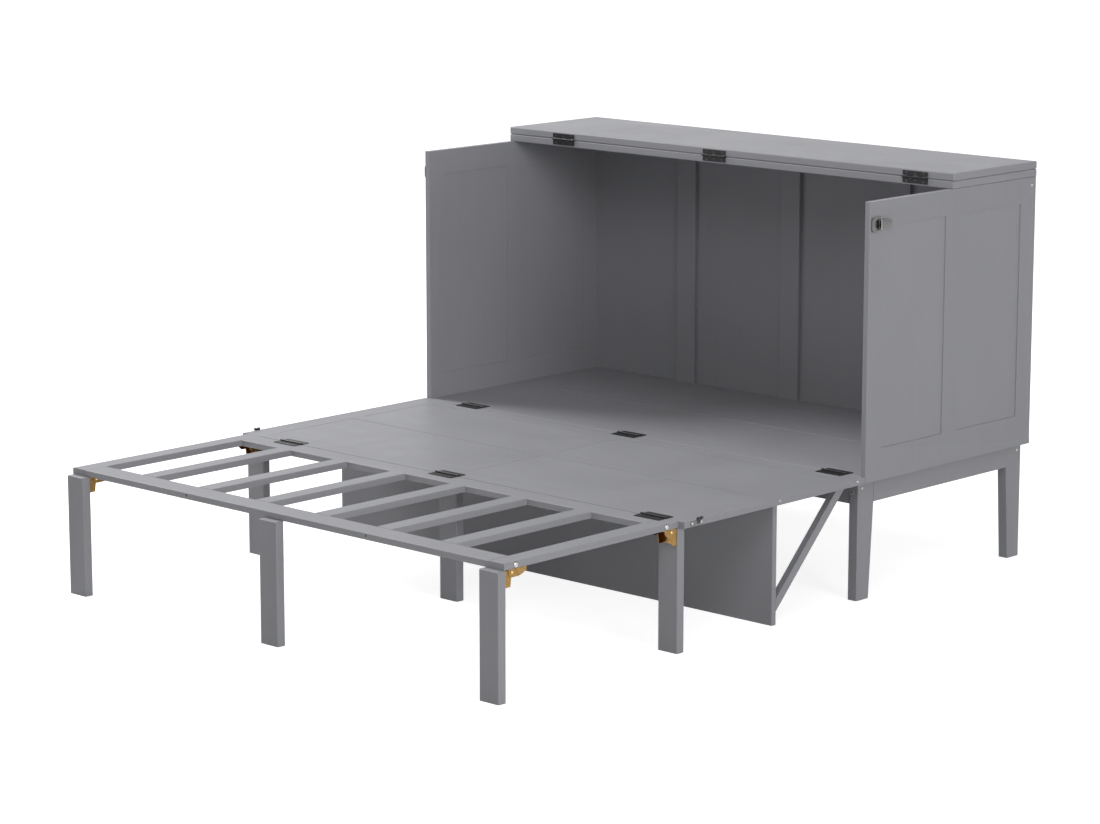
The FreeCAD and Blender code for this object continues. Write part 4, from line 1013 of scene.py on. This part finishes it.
inner = LOOP_FRONT + LOOP_BAND + LOOP_INNER_CORNER
arm = LOOP_ARM - LOOP_INNER_CORNER
outer = LOOP_FRONT + LOOP_CORNER
loop_outline = arc(outer, LOOP_HALF - LOOP_CORNER, LOOP_CORNER, 90, 180)
loop_outline += arc(outer, -LOOP_HALF + LOOP_CORNER, LOOP_CORNER, 180, 270)
loop_outline += [(LOOP_BACK, -LOOP_HALF), (LOOP_BACK, -LOOP_ARM)]
loop_outline += arc(inner, -arm, LOOP_INNER_CORNER, 270, 180)
loop_outline += arc(inner, arm, LOOP_INNER_CORNER, 180, 90)
loop_outline += [(LOOP_BACK, LOOP_ARM), (LOOP_BACK, LOOP_HALF)]
loop_forms = [(pressed(loop_outline, 0.00375, 0.00625, 0.0010), "abc")]
stub = arc(0.010, PIVOT_OUT, PIN_R, 0, 345, 15)
for low in (-0.0156, 0.0106):
    loop_forms.append((prism("stub", stub, low, low + 0.0050), "acb"))

base_outline = []
for x, y, turn in ((-0.005, 0.0065, 90), (-0.005, -0.0065, 180),
                   (0.025, -0.0065, 270), (0.025, 0.0065, 0)):
    base_outline += arc(x, y, PLATE_CORNER, turn, turn + 90)
ear_outline = [(-EAR_R, 0.0005)] + arc(0, PIVOT_OUT, EAR_R, 180, 0, 10) + [(EAR_R, 0.0005)]
base_forms = [(pressed(base_outline, 0, 0.0015), "abc"),
              (prism("pin", arc(0, PIVOT_OUT, PIN_R, 0, 345, 15), -0.0125, 0.0125), "acb")]
for low in (-0.0095, 0.0080):
    base_forms.append((pressed(ear_outline, low, low + 0.0015, 0.0003), "acb"))

keeper_low, keeper_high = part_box("latch_keepers")
keeper_spot = Vector((side_high.x, keeper_high.y, keeper_high.z))
plate_long = keeper_high.y - keeper_low.y
plate_top = floor_level - 0.0020 - keeper_high.z
plate_foot = keeper_low.z - keeper_high.z
far, top, foot = -plate_long + PLATE_CORNER, plate_top - PLATE_CORNER, plate_foot + PLATE_CORNER
keeper_outline = []
for x, y, turn in ((-PLATE_CORNER, top, 0), (far, top, 90), (far, foot, 180),
                   (-PLATE_CORNER, foot, 270)):
    keeper_outline += arc(x, y, PLATE_CORNER, turn, turn + 90)
tongue_outline = [(-0.0055, plate_foot + 0.004), (-0.0010, -0.0050), (-0.0010, -0.0008),
                  (-0.0020, 0), (-0.0090, 0), (-0.0104, -0.0034), (-0.0124, -0.0034),
                  (-0.0138, 0), (-0.0210, 0), (-0.0220, -0.0008), (-0.0220, -0.0050),
                  (-0.0185, plate_foot + 0.002)]
lip_outline = [(HOOK_OFF, 0), (0.0052, 0), (0.0064, -0.0010), (0.0064, -0.0046),
               (0.0050, -0.0046), (0.0050, -0.0016), (HOOK_OFF, -0.0016)]
keeper_forms = [(pressed(keeper_outline, 0, KEEPER_PLATE), "abc")]
hook_forms = [(pressed(tongue_outline, HOOK_OFF, KEEPER_PLATE + HOOK_OFF), "abc")]
for low in (-0.0212, -0.0082):
    hook_forms.append((pressed(lip_outline, low, low + 0.0064, 0.0003), "cba"))

small_screw = screw_head("small_screw", 0.0026, 0.0007)
for hand, side, out in (("right", 1, RIGHT), ("left", -1, LEFT)):
    lever = stamped("lever_" + hand, lever_forms, latch_spot, side, satin_nickel,
                    "latch_lever_" + hand)
    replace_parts(lever, "latch_lever_" + hand)
    loop = stamped("loop_" + hand, loop_forms, latch_spot, side, satin_nickel,
                   "latch_loop_" + hand)
    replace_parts(loop, "latch_loop_" + hand)
    # painted shade: the latch base, nickel in truth, is drawn in near-black steel
    stamped("latch_base_" + hand, base_forms, latch_spot, side, blacked_steel_and_painted_shade, "cabinet")
    stamped("keeper_plate_" + hand, keeper_forms, keeper_spot, side, satin_nickel, "deck")
    # painted shade: the keeper hook is drawn in near-black steel
    stamped("keeper_hook_" + hand, hook_forms, keeper_spot, side, blacked_steel_and_painted_shade, "deck")
    base_face = side * (latch_spot.x + 0.0015)
    base_spots = [(Vector((base_face, latch_spot.y + along, latch_spot.z)), Vector(out),
                   along * 90) for along in (0.010, 0.021)]
    planted("base_screws_" + hand, small_screw, base_spots, bright_steel, "cabinet")
    plate_z = (keeper_low.z + keeper_spot.z + plate_top) / 2
    keeper_spots = [(Vector((base_face, keeper_spot.y + along, plate_z)), Vector(out), along * 90)
                    for along in (-0.0045, -plate_long + 0.0060)]
    planted("keeper_screws_" + hand, pan_head, keeper_spots, bright_steel, "deck")
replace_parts(bpy.data.objects["latch_base_right"], "latch_bases")
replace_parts(bpy.data.objects["keeper_plate_right"], "latch_keepers")
